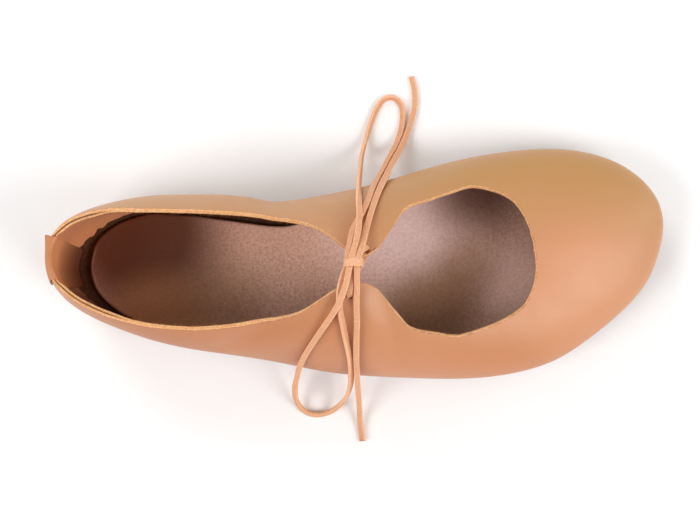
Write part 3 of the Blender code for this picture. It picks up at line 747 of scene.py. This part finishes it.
def insole_look():
    """Rosy brown insole leather with a fine pearly speckle, and painted pools of light and shadow."""
    look = Look("insole_face", 0.48, specular=0.5)
    look.set("Metallic", 0.3)
    grain = look.noise(1.0 * MM, 3.0, 0.65)
    speck = look.cells(0.9 * MM)
    base = look.blend(grain, 0.3, 0.7, tone(219, 161, 137), tone(243, 192, 168))
    base = look.blend(look.noise(50 * MM), 0.35, 0.7, base, tone(214, 154, 125), 0.35)
    base = look.blend(speck, 0.30, 0.12, base, tone(250, 218, 202), 0.35)
    # Painted light and shade: pale pools where light falls, dark patches for the shadow of the walls and vamp.
    for patch in INSOLE_LIGHT_AND_SHADE:
        base = look.paint_light_and_shade(base, patch)
    look.set("Base Color", look.blend(grain, 0.58, 0.36, base, tone(70, 42, 32), 0.14))
    look.set("Roughness", look.range(speck, 0.1, 0.5, 0.42, 0.54))
    look.set("Normal", look.bump(speck, 0.04 * MM, look.bump(grain, 0.06 * MM)))
    return look.material


def rubber_look():
    """Black rubber with a purple cast and a dull bloom."""
    look = Look("sole_rubber", 0.6, specular=0.45)
    bloom = look.noise(20 * MM, 4.0, 0.6)
    fine = look.noise(0.9 * MM)
    base = look.blend(bloom, 0.35, 0.7, tone(52, 45, 54), tone(70, 61, 70))
    look.set("Base Color", look.blend(fine, 0.5, 0.75, base, tone(88, 78, 88), 0.4))
    look.set("Roughness", look.range(bloom, 0.3, 0.7, 0.5, 0.68))
    look.set("Normal", look.bump(fine, 0.05 * MM))
    return look.material


def lace_look():
    """Square-cut leather thong, paler along its cut sides."""
    look = Look("lace_thong", 0.6, specular=0.35)
    fibre = look.noise(0.9 * MM, 4.0, 0.6)
    face = look.blend(fibre, 0.3, 0.7, tone(196, 134, 96), tone(214, 154, 114))
    pale = look.blend(fibre, 0.3, 0.7, tone(228, 170, 130), tone(244, 192, 152))
    look.set("Base Color", look.mix(look.attribute("side"), face, pale))
    look.set("Normal", look.bump(fibre, 0.08 * MM))
    return look.material


def strip_look():
    """Leather of the heel strip, rosier than the upper, with painted light on its inner face
    and painted shade darkening it towards its foot.
    """
    look = Look("strip_grain", 0.55, specular=0.25)
    pores = look.cells(0.7 * MM)
    base = look.blend(look.noise(30 * MM), 0.3, 0.7, tone(188, 124, 84), tone(199, 134, 94))
    # Painted light: the inner face is painted lighter than the outer face.
    base = look.mix(look.attribute("inside"), base, tone(240, 164, 112))
    # Painted shade: darker towards the foot of the strip, deep inside the heel.
    base = look.blend(look.axis("Z"), 29 * MM, 8 * MM, base, tone(86, 34, 8))
    look.set("Base Color", look.blend(pores, 0.25, 0.0, base, tone(140, 84, 52), 0.15))
    soft = look.bump(look.noise(3 * MM), 0.06 * MM)
    look.set("Normal", look.bump(pores, 0.04 * MM, soft))
    return look.material


def fuzz_look():
    """Loose fibres of the raw edge, from dark brown to gold."""
    look = Look("edge_fibre", 0.9, specular=0.2)
    look.set("Base Color", look.mix(look.attribute("gold"), tone(70, 34, 12), tone(226, 160, 92)))
    return look.material


def floor_look():
    """Pale paper."""
    look = Look("floor_paper", 0.9, specular=0.2)
    paper = look.mix(look.noise(20 * MM), (0.95, 0.95, 0.95, 1.0), (0.97, 0.97, 0.97, 1.0))
    look.set("Base Color", paper)
    return look.material


def add_object(name, data):
    """Object of the scene with the given data."""
    item = bpy.data.objects.new(name, data)
    bpy.context.scene.collection.objects.link(item)
    return item


def mesh_of(name, points, faces, values=()):
    """Mesh of points and faces, with named values kept at its points."""
    data = bpy.data.meshes.new(name)
    data.from_pydata([tuple(point) for point in points], [], faces)
    for key, field in dict(values).items():
        layer = data.attributes.new(key, "FLOAT", "POINT")
        layer.data.foreach_set("value", np.asarray(field, float).ravel())
    return data


def add_piece(data, materials, replaced=None, smooth=True):
    """Piece named for its mesh, on the one body of the shoe."""
    for material in materials:
        data.materials.append(material)
    data.polygons.foreach_set("use_smooth", [smooth] * len(data.polygons))
    data.update()
    item = add_object(data.name, data)
    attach(item, "root")
    if replaced:
        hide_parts(replaced)
    return item


def grid_faces(columns, rows, wrap_columns):
    """Quads over columns of vertices that are closed rings, numbered row by row in each column."""
    faces = []
    for column in range(columns if wrap_columns else columns - 1):
        here = column * rows
        after = (column + 1) % columns * rows
        for row in range(rows):
            above = (row + 1) % rows
            faces.append((here + row, here + above, after + above, after + row))
    return faces


def ring_sides(lower, upper):
    """Quads between two closed rings with as many corners."""
    after = [*range(1, len(lower)), 0]
    return [(lower[here], upper[here], upper[there], lower[there]) for here, there in enumerate(after)]


def capped_faces(columns, rows):
    """Quads of a tube of closed rings, with a face over each end."""
    last = range((columns - 1) * rows, columns * rows)
    return grid_faces(columns, rows, False) + [tuple(range(rows)), tuple(last)[::-1]]


def crease_depth(around, reach):
    """Push of the troughs and ridges out of the leather, in metres."""
    run = np.where(around < 1, MEDIAL_RUN, LATERAL_RUN)[:, None] * CREASE_RUN
    total = np.zeros(reach.shape)
    for crease in CREASES:
        nearest = np.full(reach.shape, np.inf)
        fade = np.zeros(reach.shape)
        stops = np.array(crease.stops)
        spans = len(stops) - 1
        for number in range(spans):
            start_run = (stops[number, 0] - around[:, None]) * run
            start_up = stops[number, 1] * MM - reach
            step_run = (stops[number + 1, 0] - stops[number, 0]) * run
            step_up = (stops[number + 1, 1] - stops[number, 1]) * MM
            part = -(start_run * step_run + start_up * step_up) / (step_run ** 2 + step_up ** 2)
            part = np.clip(part, 0, 1)
            away = np.hypot(start_run + step_run * part, start_up + step_up * part)
            place = CREASE_END + (1 - 2 * CREASE_END) * (number + part) / spans
            fade = np.where(away < nearest, np.sin(np.pi * place), fade)
            nearest = np.minimum(nearest, away)
        total += crease.depth * MM * fade * np.exp(-(nearest / (crease.half * MM)) ** 2)
    for hole in HOLES:
        away = np.hypot((around[:, None] - hole.around) * run, reach - hole.reach * MM)
        total -= DENT_DEPTH * np.exp(-(away / DENT_HALF) ** 2)
    return total


def grid_normals(points):
    """Directions out of a grid that is closed along its columns."""
    ahead = np.roll(points, -1, axis=0) - np.roll(points, 1, axis=0)
    return unit(np.cross(np.gradient(points, axis=1), ahead))


def lining_depth(around, reach):
    """How far a place lies inside the border of the lining in the heel, in metres."""
    ends = np.where(around < 1, LINING_MEDIAL, LINING_LATERAL)
    to_end = (ends - from_heel(around)) * LINING_RUN
    torn = ripple(on_line(around * LINING_RUN), LINING_TEAR)
    return np.minimum(to_end[:, None], reach - LINING_FOOT - torn[:, None])


def wall_grid(around, cut):
    """Outer face of the upper with its creases, from margin to cut, and the leather heights of the wall."""
    low = np.array(LOW_ROWS) * MM
    share = 1 - (1 - np.linspace(0, 1, HIGH_ROWS + 1)[1:]) ** HIGH_ROW_CROWDING
    reach = np.hstack([np.tile(low, (len(around), 1)), low[-1] + (cut - low[-1])[:, None] * share])
    points = leather(around, reach)[0]
    turn = turn_width(around)
    under = [inset_points(around, turn + MARGIN * part, TURN_BASE) for part in UNDER_ROWS]
    grid = np.concatenate([np.stack(under, axis=1), points], axis=1)
    wave = smooth_step(WALL_WAVE_LOW, WALL_WAVE_HIGH, reach) * ripple(points, WALL_WAVE)
    push = np.zeros(grid.shape[:2])
    push[:, len(UNDER_ROWS):] = crease_depth(around, reach) + wave
    return grid + grid_normals(grid) * push[..., None], reach


def build_upper():
    """Shell of the upper with rounded raw edges, creases, lace holes and the lining step inside the heel."""
    around = round_the_shoe(UPPER_COLUMNS)
    track = on_line(np.where(around < 1, around * MEDIAL_RUN, MEDIAL_RUN + (around - 1) * LATERAL_RUN))
    cut = cut_reach(around) + ripple(track, CUT_WAVE) + ripple(track, CUT_NICKS)
    grid, reach = wall_grid(around, cut)
    normals = grid_normals(grid)
    below_cut = cut[:, None] - reach
    inside_border = lining_depth(around, reach)
    unlined = 1 - smooth_step(0, LINING_STEP, inside_border)
    thin = UNLINED_THIN * unlined * smooth_step(UNLINED_LOW, UNLINED_HIGH, reach)
    swell_end = np.where(around < 1, SWELL_MEDIAL, SWELL_LATERAL)
    rear = smooth_step(0, SWELL_FADE, (swell_end - from_heel(around)) * MEDIAL_RUN)
    beside = smooth_step(STRIP_HALF + SWELL_FROM_STRIP, STRIP_HALF + SWELL_FULL_FROM_STRIP,
                         from_heel(around) * MEDIAL_RUN)
    swell = SWELL * rear * beside
    thick = np.full(grid.shape[:2], WALL)
    thick[:, len(UNDER_ROWS):] = (np.where(below_cut < COLLAR_FULL, WALL, WALL - thin)
                                  + swell[:, None] * smooth_step(SWELL_FADE, SWELL_TOP, below_cut))
    inner = grid - normals * thick[..., None]
    top = grid[:, -1]
    upward = unit(top - grid[:, -3])
    side = normals[:, -1]
    rim = []
    seam = []
    for row in RIM:
        groove = np.exp(-((row.across - GROOVE_AT) / GROOVE_HALF) ** 2) * rear
        rough = ripple(track + row.across * RIM_SHIFT, EDGE_FIBRE)
        height = row.drop * MM + rough - GROOVE_DEPTH * groove + RIM_RISE
        rim.append(top - side * ((WALL + swell) * row.across)[:, None] + upward * height[:, None])
        seam.append(groove)
    loop = np.concatenate([grid, np.stack(rim, axis=1), inner[:, ::-1]], axis=1)
    count, total = loop.shape[:2]
    outer_rows = grid.shape[1]
    rim_end = outer_rows + len(RIM)
    seams = np.zeros((count, total))
    seams[:, outer_rows:rim_end] = np.stack(seam, axis=1)
    lined = np.zeros((count, total))
    lining = np.clip(LINING_BORDER + inside_border / LINING_BLUR, 0, 1)
    lined[:, rim_end:rim_end + reach.shape[1]] = lining[:, ::-1]
    data = mesh_of("upper_leather", loop.reshape(-1, 3), grid_faces(count, total, True),
                   {"seam": seams, "lined": lined})
    item = add_piece(data, [upper_look(), edge_look(), inner_look()], "upper")
    row_looks = np.full(total, 2)
    row_looks[:rim_end] = 1
    row_looks[:outer_rows - 1] = 0
    row_looks[-1] = 0
    data.polygons.foreach_set("material_index", np.tile(row_looks, count).tolist())
    data.update()
    punch_holes(item)
    return around, top, side, upward


def punch_holes(item):
    """Lace holes through the wall, worn a little oval."""
    cutters = []
    for number, hole in enumerate(HOLES):
        place, out = leather(np.array([hole.around]), np.array([[hole.reach * MM]]))
        work = bmesh.new()
        bmesh.ops.create_cone(work, cap_ends=True, segments=HOLE_SIDES, radius1=HOLE_RADIUS,
                              radius2=HOLE_RADIUS, depth=PUNCH_LENGTH)
        data = bpy.data.meshes.new("punch")
        work.to_mesh(data)
        work.free()
        data.materials.append(item.data.materials[1])
        cutter = add_object("punch_%d" % number, data)
        cutter.rotation_mode = "QUATERNION"
        cutter.rotation_quaternion = Vector(out[0, 0]).to_track_quat("Z", "Y")
        cutter.location = Vector(place[0, 0])
        cutter.scale = (1.0, HOLE_LONG, 1.0)
        drill = item.modifiers.new("punch_%d" % number, "BOOLEAN")
        drill.operation = "DIFFERENCE"
        drill.solver = "EXACT"
        drill.object = cutter
        cutters.append(cutter)
    graph = bpy.context.evaluated_depsgraph_get()
    finished = bpy.data.meshes.new_from_object(item.evaluated_get(graph))
    item.modifiers.clear()
    item.data = finished
    for cutter in cutters:
        bpy.data.objects.remove(cutter)


def build_fuzz(around, top, side, upward):
    """Loose fibres along the raw edges, most on the flesh side."""
    chance = np.random.default_rng(FIBRE_SEED)
    density = FIBRES_EACH * np.interp(around, *zip(*FIBRE_DENSITY))
    points = []
    faces = []
    gold = []
    total = len(around)
    for column in range(total):
        after = (column + 1) % total
        ahead = unit(top[after] - top[column])
        shade = FIBRE_GOLD_MEDIAL if around[column] < 1 else FIBRE_GOLD_LATERAL
        for number in range(chance.poisson(density[column])):
            part = chance.random()
            across = FIBRE_ROOT_FROM + FIBRE_ROOT_SPREAD * chance.random()
            root = top[column] * (1 - part) + top[after] * part - side[column] * WALL * across
            aim = -side[column] * chance.uniform(*FIBRE_INWARD) + upward[column] * chance.uniform(*FIBRE_UPWARD)
            aim = unit(aim + ahead * chance.normal(0, FIBRE_STRAY))
            length = chance.uniform(*FIBRE_LENGTH) * MM
            bend = unit(ahead * chance.normal(0, 1) + upward[column] * chance.normal(0, 1))
            bend = bend * length * FIBRE_BEND
            first = unit(np.cross(aim, ahead + FIBRE_TILT))
            second = np.cross(aim, first)
            half = chance.uniform(*FIBRE_HALF) * MM
            colour = np.clip(chance.normal(shade, FIBRE_GOLD_SPREAD), 0, 1)
            base = len(points)
            for step, thin in FIBRE_RINGS:
                middle = root + aim * length * step + bend * step * 4 * (1 - step)
                for turn in FIBRE_CORNERS:
                    points.append(middle + (first * math.cos(turn) + second * math.sin(turn)) * half * thin)
            points.append(root + aim * length)
            gold += [colour] * (len(points) - base)
            for corner in range(3):
                other = (corner + 1) % 3
                faces.append((base + corner, base + other, base + 3 + other, base + 3 + corner))
                faces.append((base + 3 + corner, base + 3 + other, base + 6))
            faces.append((base + 2, base + 1, base))
    add_piece(mesh_of("edge_fibres", points, faces, {"gold": gold}), [fuzz_look()])


def plate_mesh(name, rings, levels, dish):
    """Closed plate from rings bottom to top, with a grid across the lowest and the highest ring."""
    total = len(rings[0])
    stations = total // 2
    points = [point for ring in rings for point in ring]
    faces = []
    for low in range(0, total * (len(rings) - 1), total):
        high = low + total
        faces += ring_sides(range(low, high), range(high, high + total))
    part = np.linspace(0, 1, PLATE_ACROSS + 1)[1:-1, None]
    hollow = 1 - (2 * part[:, 0] - 1) ** 4
    for number, level, sink in ((0, levels[0], 0.0), (len(rings) - 1, levels[1], dish)):
        start = number * total
        lines = []
        for station in range(1, stations):
            line = rings[number][station] * (1 - part) + rings[number][-station] * part
            line[:, 2] = level + lift(line[:, 0], line[:, 1]) - sink * hollow
            inside = range(len(points), len(points) + len(line))
            points += list(line)
            lines.append([start + station, *inside, start + total - station])
        made = []
        for first, second in zip(lines[:-1], lines[1:]):
            for across in range(PLATE_ACROSS):
                made.append((first[across], second[across], second[across + 1], first[across + 1]))
        for across in range(PLATE_ACROSS):
            made.append((start, lines[0][across], lines[0][across + 1]))
            made.append((start + stations, lines[-1][across + 1], lines[-1][across]))
        faces += [face[::-1] for face in made] if number else made
    return mesh_of(name, points, faces)


def build_insole():
    """Insole with a rounded edge, lightly dished by wear."""
    around = round_the_shoe(PLATE_STATIONS)
    slack = read_table(INSOLE_EDGE, "slack", around) * MM
    layers = [(np.maximum(slack, INSOLE_FOOT_OUT) + INSOLE_FOOT_INSET, 0.0),
              (np.maximum(slack, INSOLE_WAIST_OUT), INSOLE_WAIST_HEIGHT)]
    for angle in np.radians(INSOLE_ROUND_ANGLES):
        inset = INSOLE_ROUND * (1 - math.cos(angle))
        layers.append((slack + inset, INSOLE_THICK - INSOLE_ROUND * (1 - math.sin(angle))))
    turn = turn_width(around)
    rings = [inset_points(around, turn + inset, INSOLE_BASE + height) for inset, height in layers]
    levels = (INSOLE_BASE, INSOLE_BASE + INSOLE_THICK)
    data = plate_mesh("insole_leather", rings, levels, INSOLE_DISH)
    add_piece(data, [insole_look()], "insole")


def tread_place(row, column):
    """Lattice point of the tread in plan."""
    x = row * TREAD_CELL + TREAD_SWING * np.sin(2 * np.pi * column * TREAD_CELL / TREAD_WAVE)
    y = column * TREAD_CELL + TREAD_SWING * np.sin(2 * np.pi * row * TREAD_CELL / TREAD_WAVE)
    turn_cos = math.cos(TREAD_TURN)
    turn_sin = math.sin(TREAD_TURN)
    return np.array([x * turn_cos - y * turn_sin, x * turn_sin + y * turn_cos])


def inside_ring(plan, ring):
    """Whether plan points lie inside a closed ring."""
    within = np.zeros(len(plan), bool)
    for start, end in zip(ring, np.roll(ring, -1, axis=0)):
        crosses = (start[1] > plan[:, 1]) != (end[1] > plan[:, 1])
        rise = end[1] - start[1]
        where = start[0] + (plan[:, 1] - start[1]) * (end[0] - start[0]) / (rise if rise else 1e-12)
        within ^= crosses & (plan[:, 0] < where)
    return within


def cell_corners(row, column):
    """Lattice points of a cell, in order round it."""
    return [(row + a, column + b) for a, b in CELL_CORNERS]


def tread_cells(ring):
    """Lattice cells that lie whole inside the ring and join each other along sides."""
    corners = {(row, column): tread_place(row, column) for row in TREAD_ROWS for column in TREAD_COLUMNS}
    within = dict(zip(corners, inside_ring(np.array(list(corners.values())), ring)))
    cells = {(row, column) for row in TREAD_ROWS[:-1] for column in TREAD_COLUMNS[:-1]
             if all(within[key] for key in cell_corners(row, column))}
    changed = True
    while changed:
        changed = False
        for row, column in sorted(cells):
            sides = sum((row + a, column + b) in cells for a, b in CELL_SIDES)
            pinched = any((row + a, column + b) in cells and (row + a, column) not in cells
                          and (row, column + b) not in cells for a in (1, -1) for b in (1, -1))
            if sides < 2 or pinched:
                cells.discard((row, column))
                changed = True
    return sorted(cells), corners


def build_outsole():
    """Rubber sole: bevelled smooth border and a tread of square pits in crossing waves."""
    around = round_the_shoe(PLATE_STATIONS)
    turn = turn_width(around)
    tread_edge = SOLE_PROFILE[0].inset * MM - WELT + SOLE_RIM
    layers = [(tread_edge - TREAD_CLEAR, 0.0)]
    layers += [(row.inset * MM - WELT, row.height * MM) for row in SOLE_PROFILE]
    layers += [(MARGIN + STEP_FOOT, SOLE_THICK), (MARGIN + STEP_HEAD, STEP_TOP)]
    work = bmesh.new()
    rings = []
    for inset, height in layers:
        rings.append([work.verts.new(point) for point in inset_points(around, turn + inset, height)])
    for lower, upper in zip(rings[:-1], rings[1:]):
        for side in ring_sides(lower, upper):
            work.faces.new(side)
    work.faces.new(rings[-1][::-1])

    def bottom(plan, height):
        return work.verts.new((plan[0], plan[1], height + float(lift(plan[0], plan[1]))))

    cells, corners = tread_cells(inset_points(around, turn + tread_edge, 0.0)[:, :2])
    nodes = {}
    for row, column in cells:
        keys = cell_corners(row, column)
        for key in keys:
            if key not in nodes:
                nodes[key] = bottom(corners[key], 0.0)
        plan = np.array([corners[key] for key in keys])
        middle = plan.mean(axis=0)
        mouth = [bottom(middle + (corner - middle) * TREAD_MOUTH, 0.0) for corner in plan]
        floor = [bottom(middle + (corner - middle) * TREAD_FLOOR, TREAD_DEPTH) for corner in plan]
        ridge = [nodes[key] for key in keys]
        for sides in zip(ring_sides(ridge, mouth), ring_sides(mouth, floor)):
            for side in sides:
                work.faces.new(side)
        work.faces.new(floor[::-1])
    open_edges = [edge for edge in work.edges if len(edge.link_faces) == 1]
    bmesh.ops.triangle_fill(work, use_beauty=True, use_dissolve=False, edges=open_edges, normal=(0, 0, -1))
    bmesh.ops.recalc_face_normals(work, faces=work.faces)
    data = bpy.data.meshes.new("outsole_rubber")
    work.to_mesh(data)
    work.free()
    add_piece(data, [rubber_look()], "outsole", smooth=False)


def build_strip():
    """Strip folded over the back collar, with rounded cut sides."""
    share = np.linspace(-1, 1, STRIP_COLUMNS)
    side = share * STRIP_HALF
    around = np.where(side >= 0, side / MEDIAL_RUN, 2 + side / LATERAL_RUN)
    cut = cut_reach(around) + STRIP_RISE
    up = np.linspace(0, 1, STRIP_ROWS_INSIDE)
    down = np.linspace(0, 1, STRIP_ROWS_OUTSIDE)
    points_in, out_in = leather(around, STRIP_FOOT + (cut - STRIP_FOOT)[:, None] * up)
    points_out, out_out = leather(around, cut[:, None] - STRIP_OUTSIDE * down)
    stand = WALL + GAP * (1 + (1 - up) ** 4)
    rows = [points_in[:, row] - out_in[:, row] * stand[row] for row in range(STRIP_ROWS_INSIDE)]
    corner = np.zeros((STRIP_COLUMNS, 3))
    corner[:, 0] = -np.where(side >= 0, STRIP_CORNER_MEDIAL, STRIP_CORNER_LATERAL) * share ** 2
    edge = points_in[:, -1] - out_in[:, -1] * WALL / 2
    upward = unit(points_in[:, -1] - points_in[:, -2])
    radius = WALL / 2 + GAP
    for angle in STRIP_FOLD:
        fold = edge + out_in[:, -1] * radius * math.cos(angle) + upward * (radius * math.sin(angle) + GAP)
        rows.append(fold + corner * (1 + math.cos(angle)) / 2)
    ease = 1 - STRIP_CORNER_EASE * down
    for row in range(STRIP_ROWS_OUTSIDE):
        rows.append(points_out[:, row] + out_out[:, row] * GAP + corner * ease[row])
    base = np.stack(rows, axis=1)
    total = len(rows)
    normals = unit(np.cross(np.gradient(base, axis=1), np.gradient(base, axis=0)))
    swell = (1 - np.abs(share) ** STRIP_SIDE_POWER) ** 0.5
    ends = np.ones(total)
    ends[:3] = STRIP_ENDS
    ends[-3:] = STRIP_ENDS[::-1]
    thick = STRIP_THICK * (STRIP_SIDE_THIN + (1 - STRIP_SIDE_THIN) * swell)[:, None] * ends
    loop = np.concatenate([base + normals * thick[..., None], base[:, ::-1]], axis=1)
    # Rows of the inner face, which strip_look paints lighter as painted light.
    tint_end, tint_full = (STRIP_ROWS_INSIDE + row for row in STRIP_TINT_ROWS)
    inside = smooth_step(tint_end, tint_full, np.arange(total))
    inside = np.tile(np.concatenate([inside, inside[::-1]]), STRIP_COLUMNS)
    faces = capped_faces(STRIP_COLUMNS, 2 * total)
    data = mesh_of("heel_strip_leather", loop.reshape(-1, 3), faces, {"inside": inside})
    add_piece(data, [strip_look()], "heel_strip")


def smooth_path(stops, rounds=0):
    """Points a lace step apart on a smooth curve through stops in millimetres, softened in rounds."""
    route = np.array(stops, float) * MM
    travel = travelled(route)
    slopes = np.gradient(route, travel, axis=0)
    fine = hermite(travel, route, slopes, np.linspace(0, travel[-1], PATH_SAMPLES))
    length = travelled(fine)
    where = np.linspace(0, length[-1], int(length[-1] / LACE_STEP) + 2)
    points = read_line(length, fine, where)
    for number in range(rounds):
        points[1:-1] = points[1:-1] * 0.5 + (points[:-2] + points[2:]) * 0.25
    return points


def lace_normals(path, rolls):
    """Directions out of the flat side of a thong: off the shoe, up from the floor, then rolled."""
    out = path * np.array((0, 1, 1)) - np.array(LACE_AXIS)
    out[:, 2] = np.maximum(out[:, 2], LACE_LEAN * np.abs(out[:, 1]))
    floor = smooth_step(LACE_LIFT, LACE_LAID, path[:, 2])[:, None]
    ahead = unit(np.gradient(path, axis=0))
    out = square_to(unit(out) * (1 - floor) + np.array([0.0, 0.0, 1.0]) * floor, ahead)
    padded = np.pad(out, ((LACE_STEADY, LACE_STEADY), (0, 0)), "edge")
    window = np.ones(2 * LACE_STEADY + 1)
    out = square_to(np.stack([np.convolve(column, window, "valid") for column in padded.T], axis=-1), ahead)
    angle = np.radians(np.interp(np.linspace(0, 1, len(path)), *zip(*rolls)))[:, None]
    return unit(out * np.cos(angle) + np.cross(ahead, out) * np.sin(angle)), ahead


def oblong(width, thick):
    """Points of a rounded oblong section and how far each is a cut side."""
    places = []
    for x, y, start in ((1, 1, 0), (-1, 1, 90), (-1, -1, 180), (1, -1, 270)):
        for angle in np.radians(start + np.array((0.0, 30.0, 60.0, 90.0))):
            places.append((x * (width / 2 - LACE_ROUND) + LACE_ROUND * math.cos(angle),
                           y * (thick / 2 - LACE_ROUND) + LACE_ROUND * math.sin(angle)))
    places = np.array(places)
    return places, smooth_step(*LACE_CUT_SIDE, np.abs(places[:, 0]) / (width / 2))


def thong_points(path, across, normals, section, uneven):
    """Rings of a section along a path, with its width a little uneven."""
    wide = across[:, None] * (section[None, :, :1] * uneven[:, None, None])
    return path[:, None] + wide + normals[:, None] * section[None, :, 1:]


def sweep(name, path, rolls, thick, look, seed):
    """Thong along a path, in place of the solid of that name, kept above the floor."""
    normals, ahead = lace_normals(path, rolls)
    section, side = oblong(LACE_WIDTH, thick)
    uneven = 1 + LACE_UNEVEN * drift(path, LACE_UNEVEN_SIZE, seed)
    points = thong_points(path, np.cross(normals, ahead), normals, section, uneven)
    points[..., 2] += np.maximum(LACE_FLOOR - points[..., 2].min(axis=1), 0)[:, None]
    faces = capped_faces(len(path), len(section))
    data = mesh_of(name + "_thong", points.reshape(-1, 3), faces, {"side": np.tile(side, len(path))})
    return add_piece(data, [look], name)


def squared(values):
    """Values of a circle made a little more square."""
    return np.abs(values) ** BAND_SQUARE * np.sign(values)


def build_band(look):
    """Band of the bow: a flat turn of the thong round the strands, squeezed oval."""
    angle = np.linspace(0, 2 * np.pi, BAND_POINTS, endpoint=False)
    sway = BAND_SWAY * np.sin(angle + BAND_SWAY_TURN)
    middle = np.column_stack([BAND_HALF * squared(np.cos(angle)), sway, BAND_RISE * squared(np.sin(angle))])
    middle += np.array(BAND_AT)
    ahead = unit(np.roll(middle, -1, axis=0) - np.roll(middle, 1, axis=0))
    across = square_to(np.tile(np.array([0.0, 1.0, 0.0]), (BAND_POINTS, 1)), ahead)
    section, side = oblong(BAND_WIDTH, BAND_THICK)
    uneven = 1 + BAND_UNEVEN * np.sin(2 * angle + BAND_UNEVEN_TURN)
    points = thong_points(middle, across, np.cross(ahead, across), section, uneven)
    faces = grid_faces(BAND_POINTS, len(section), True)
    data = mesh_of("lace_knot_band", points.reshape(-1, 3), faces, {"side": np.tile(side, BAND_POINTS)})
    return add_piece(data, [look], "lace_knot")


def build_laces():
    """Bar, bow band, loops and ends of the lace."""
    look = lace_look()
    sweep("lace_bar", smooth_path(BAR), ((0, 0), (1, 0)), BAR_THICK, look, BAR_SEED)
    band = build_band(look)
    for run in RUNS:
        path = smooth_path(run.stops, LACE_SOFTEN)
        item = sweep(run.name, path, run.rolls, LACE_THICK, look, run.seed)


def build_stage():
    """Pale floor, soft light and the camera."""
    scene = bpy.context.scene
    corners = [(x * FLOOR_HALF, y * FLOOR_HALF, 0) for x, y in ((-1, -1), (1, -1), (1, 1), (-1, 1))]
    floor = mesh_of("floor", corners, [(0, 1, 2, 3)])
    floor.materials.append(floor_look())
    add_object("floor", floor)
    scene.view_settings.view_transform = "Standard"
    world = bpy.data.worlds.new("studio")
    world.use_nodes = True
    sky = world.node_tree.nodes["Background"]
    sky.inputs["Color"].default_value = (1.0, 1.0, 1.0, 1.0)
    sky.inputs["Strength"].default_value = SKY_STRENGTH
    scene.world = world
    for row in LAMPS:
        lamp = bpy.data.lights.new(row.name, "AREA")
        lamp.shape = "DISK"
        lamp.size = LAMP_SIZE
        lamp.energy = row.power
        turn = math.radians(row.azimuth)
        rise = math.radians(row.elevation)
        toward = Vector((math.cos(turn) * math.cos(rise), math.sin(turn) * math.cos(rise), math.sin(rise)))
        lamp_item = add_object(row.name, lamp)
        lamp_item.location = toward * LAMP_DISTANCE
        lamp_item.rotation_mode = "QUATERNION"
        lamp_item.rotation_quaternion = (-toward).to_track_quat("-Z", "Y")
    camera = bpy.data.cameras.new("camera")
    camera.lens = CAMERA_LENS
    camera.sensor_width = CAMERA_SENSOR
    camera.clip_start = CAMERA_NEAR
    camera.clip_end = CAMERA_FAR
    eye = add_object("camera", camera)
    back = (Vector(CAMERA_AT) - Vector(CAMERA_AIM)).normalized()
    right = Vector((0, 1, 0)).cross(back).normalized()
    turned = Matrix((right, back.cross(right), back)).transposed()
    eye.matrix_world = Matrix.Translation(CAMERA_AT) @ turned.to_4x4()
    scene.camera = eye


build_stage()
build_laces()
build_fuzz(*build_upper())
build_insole()
build_outsole()
build_strip()
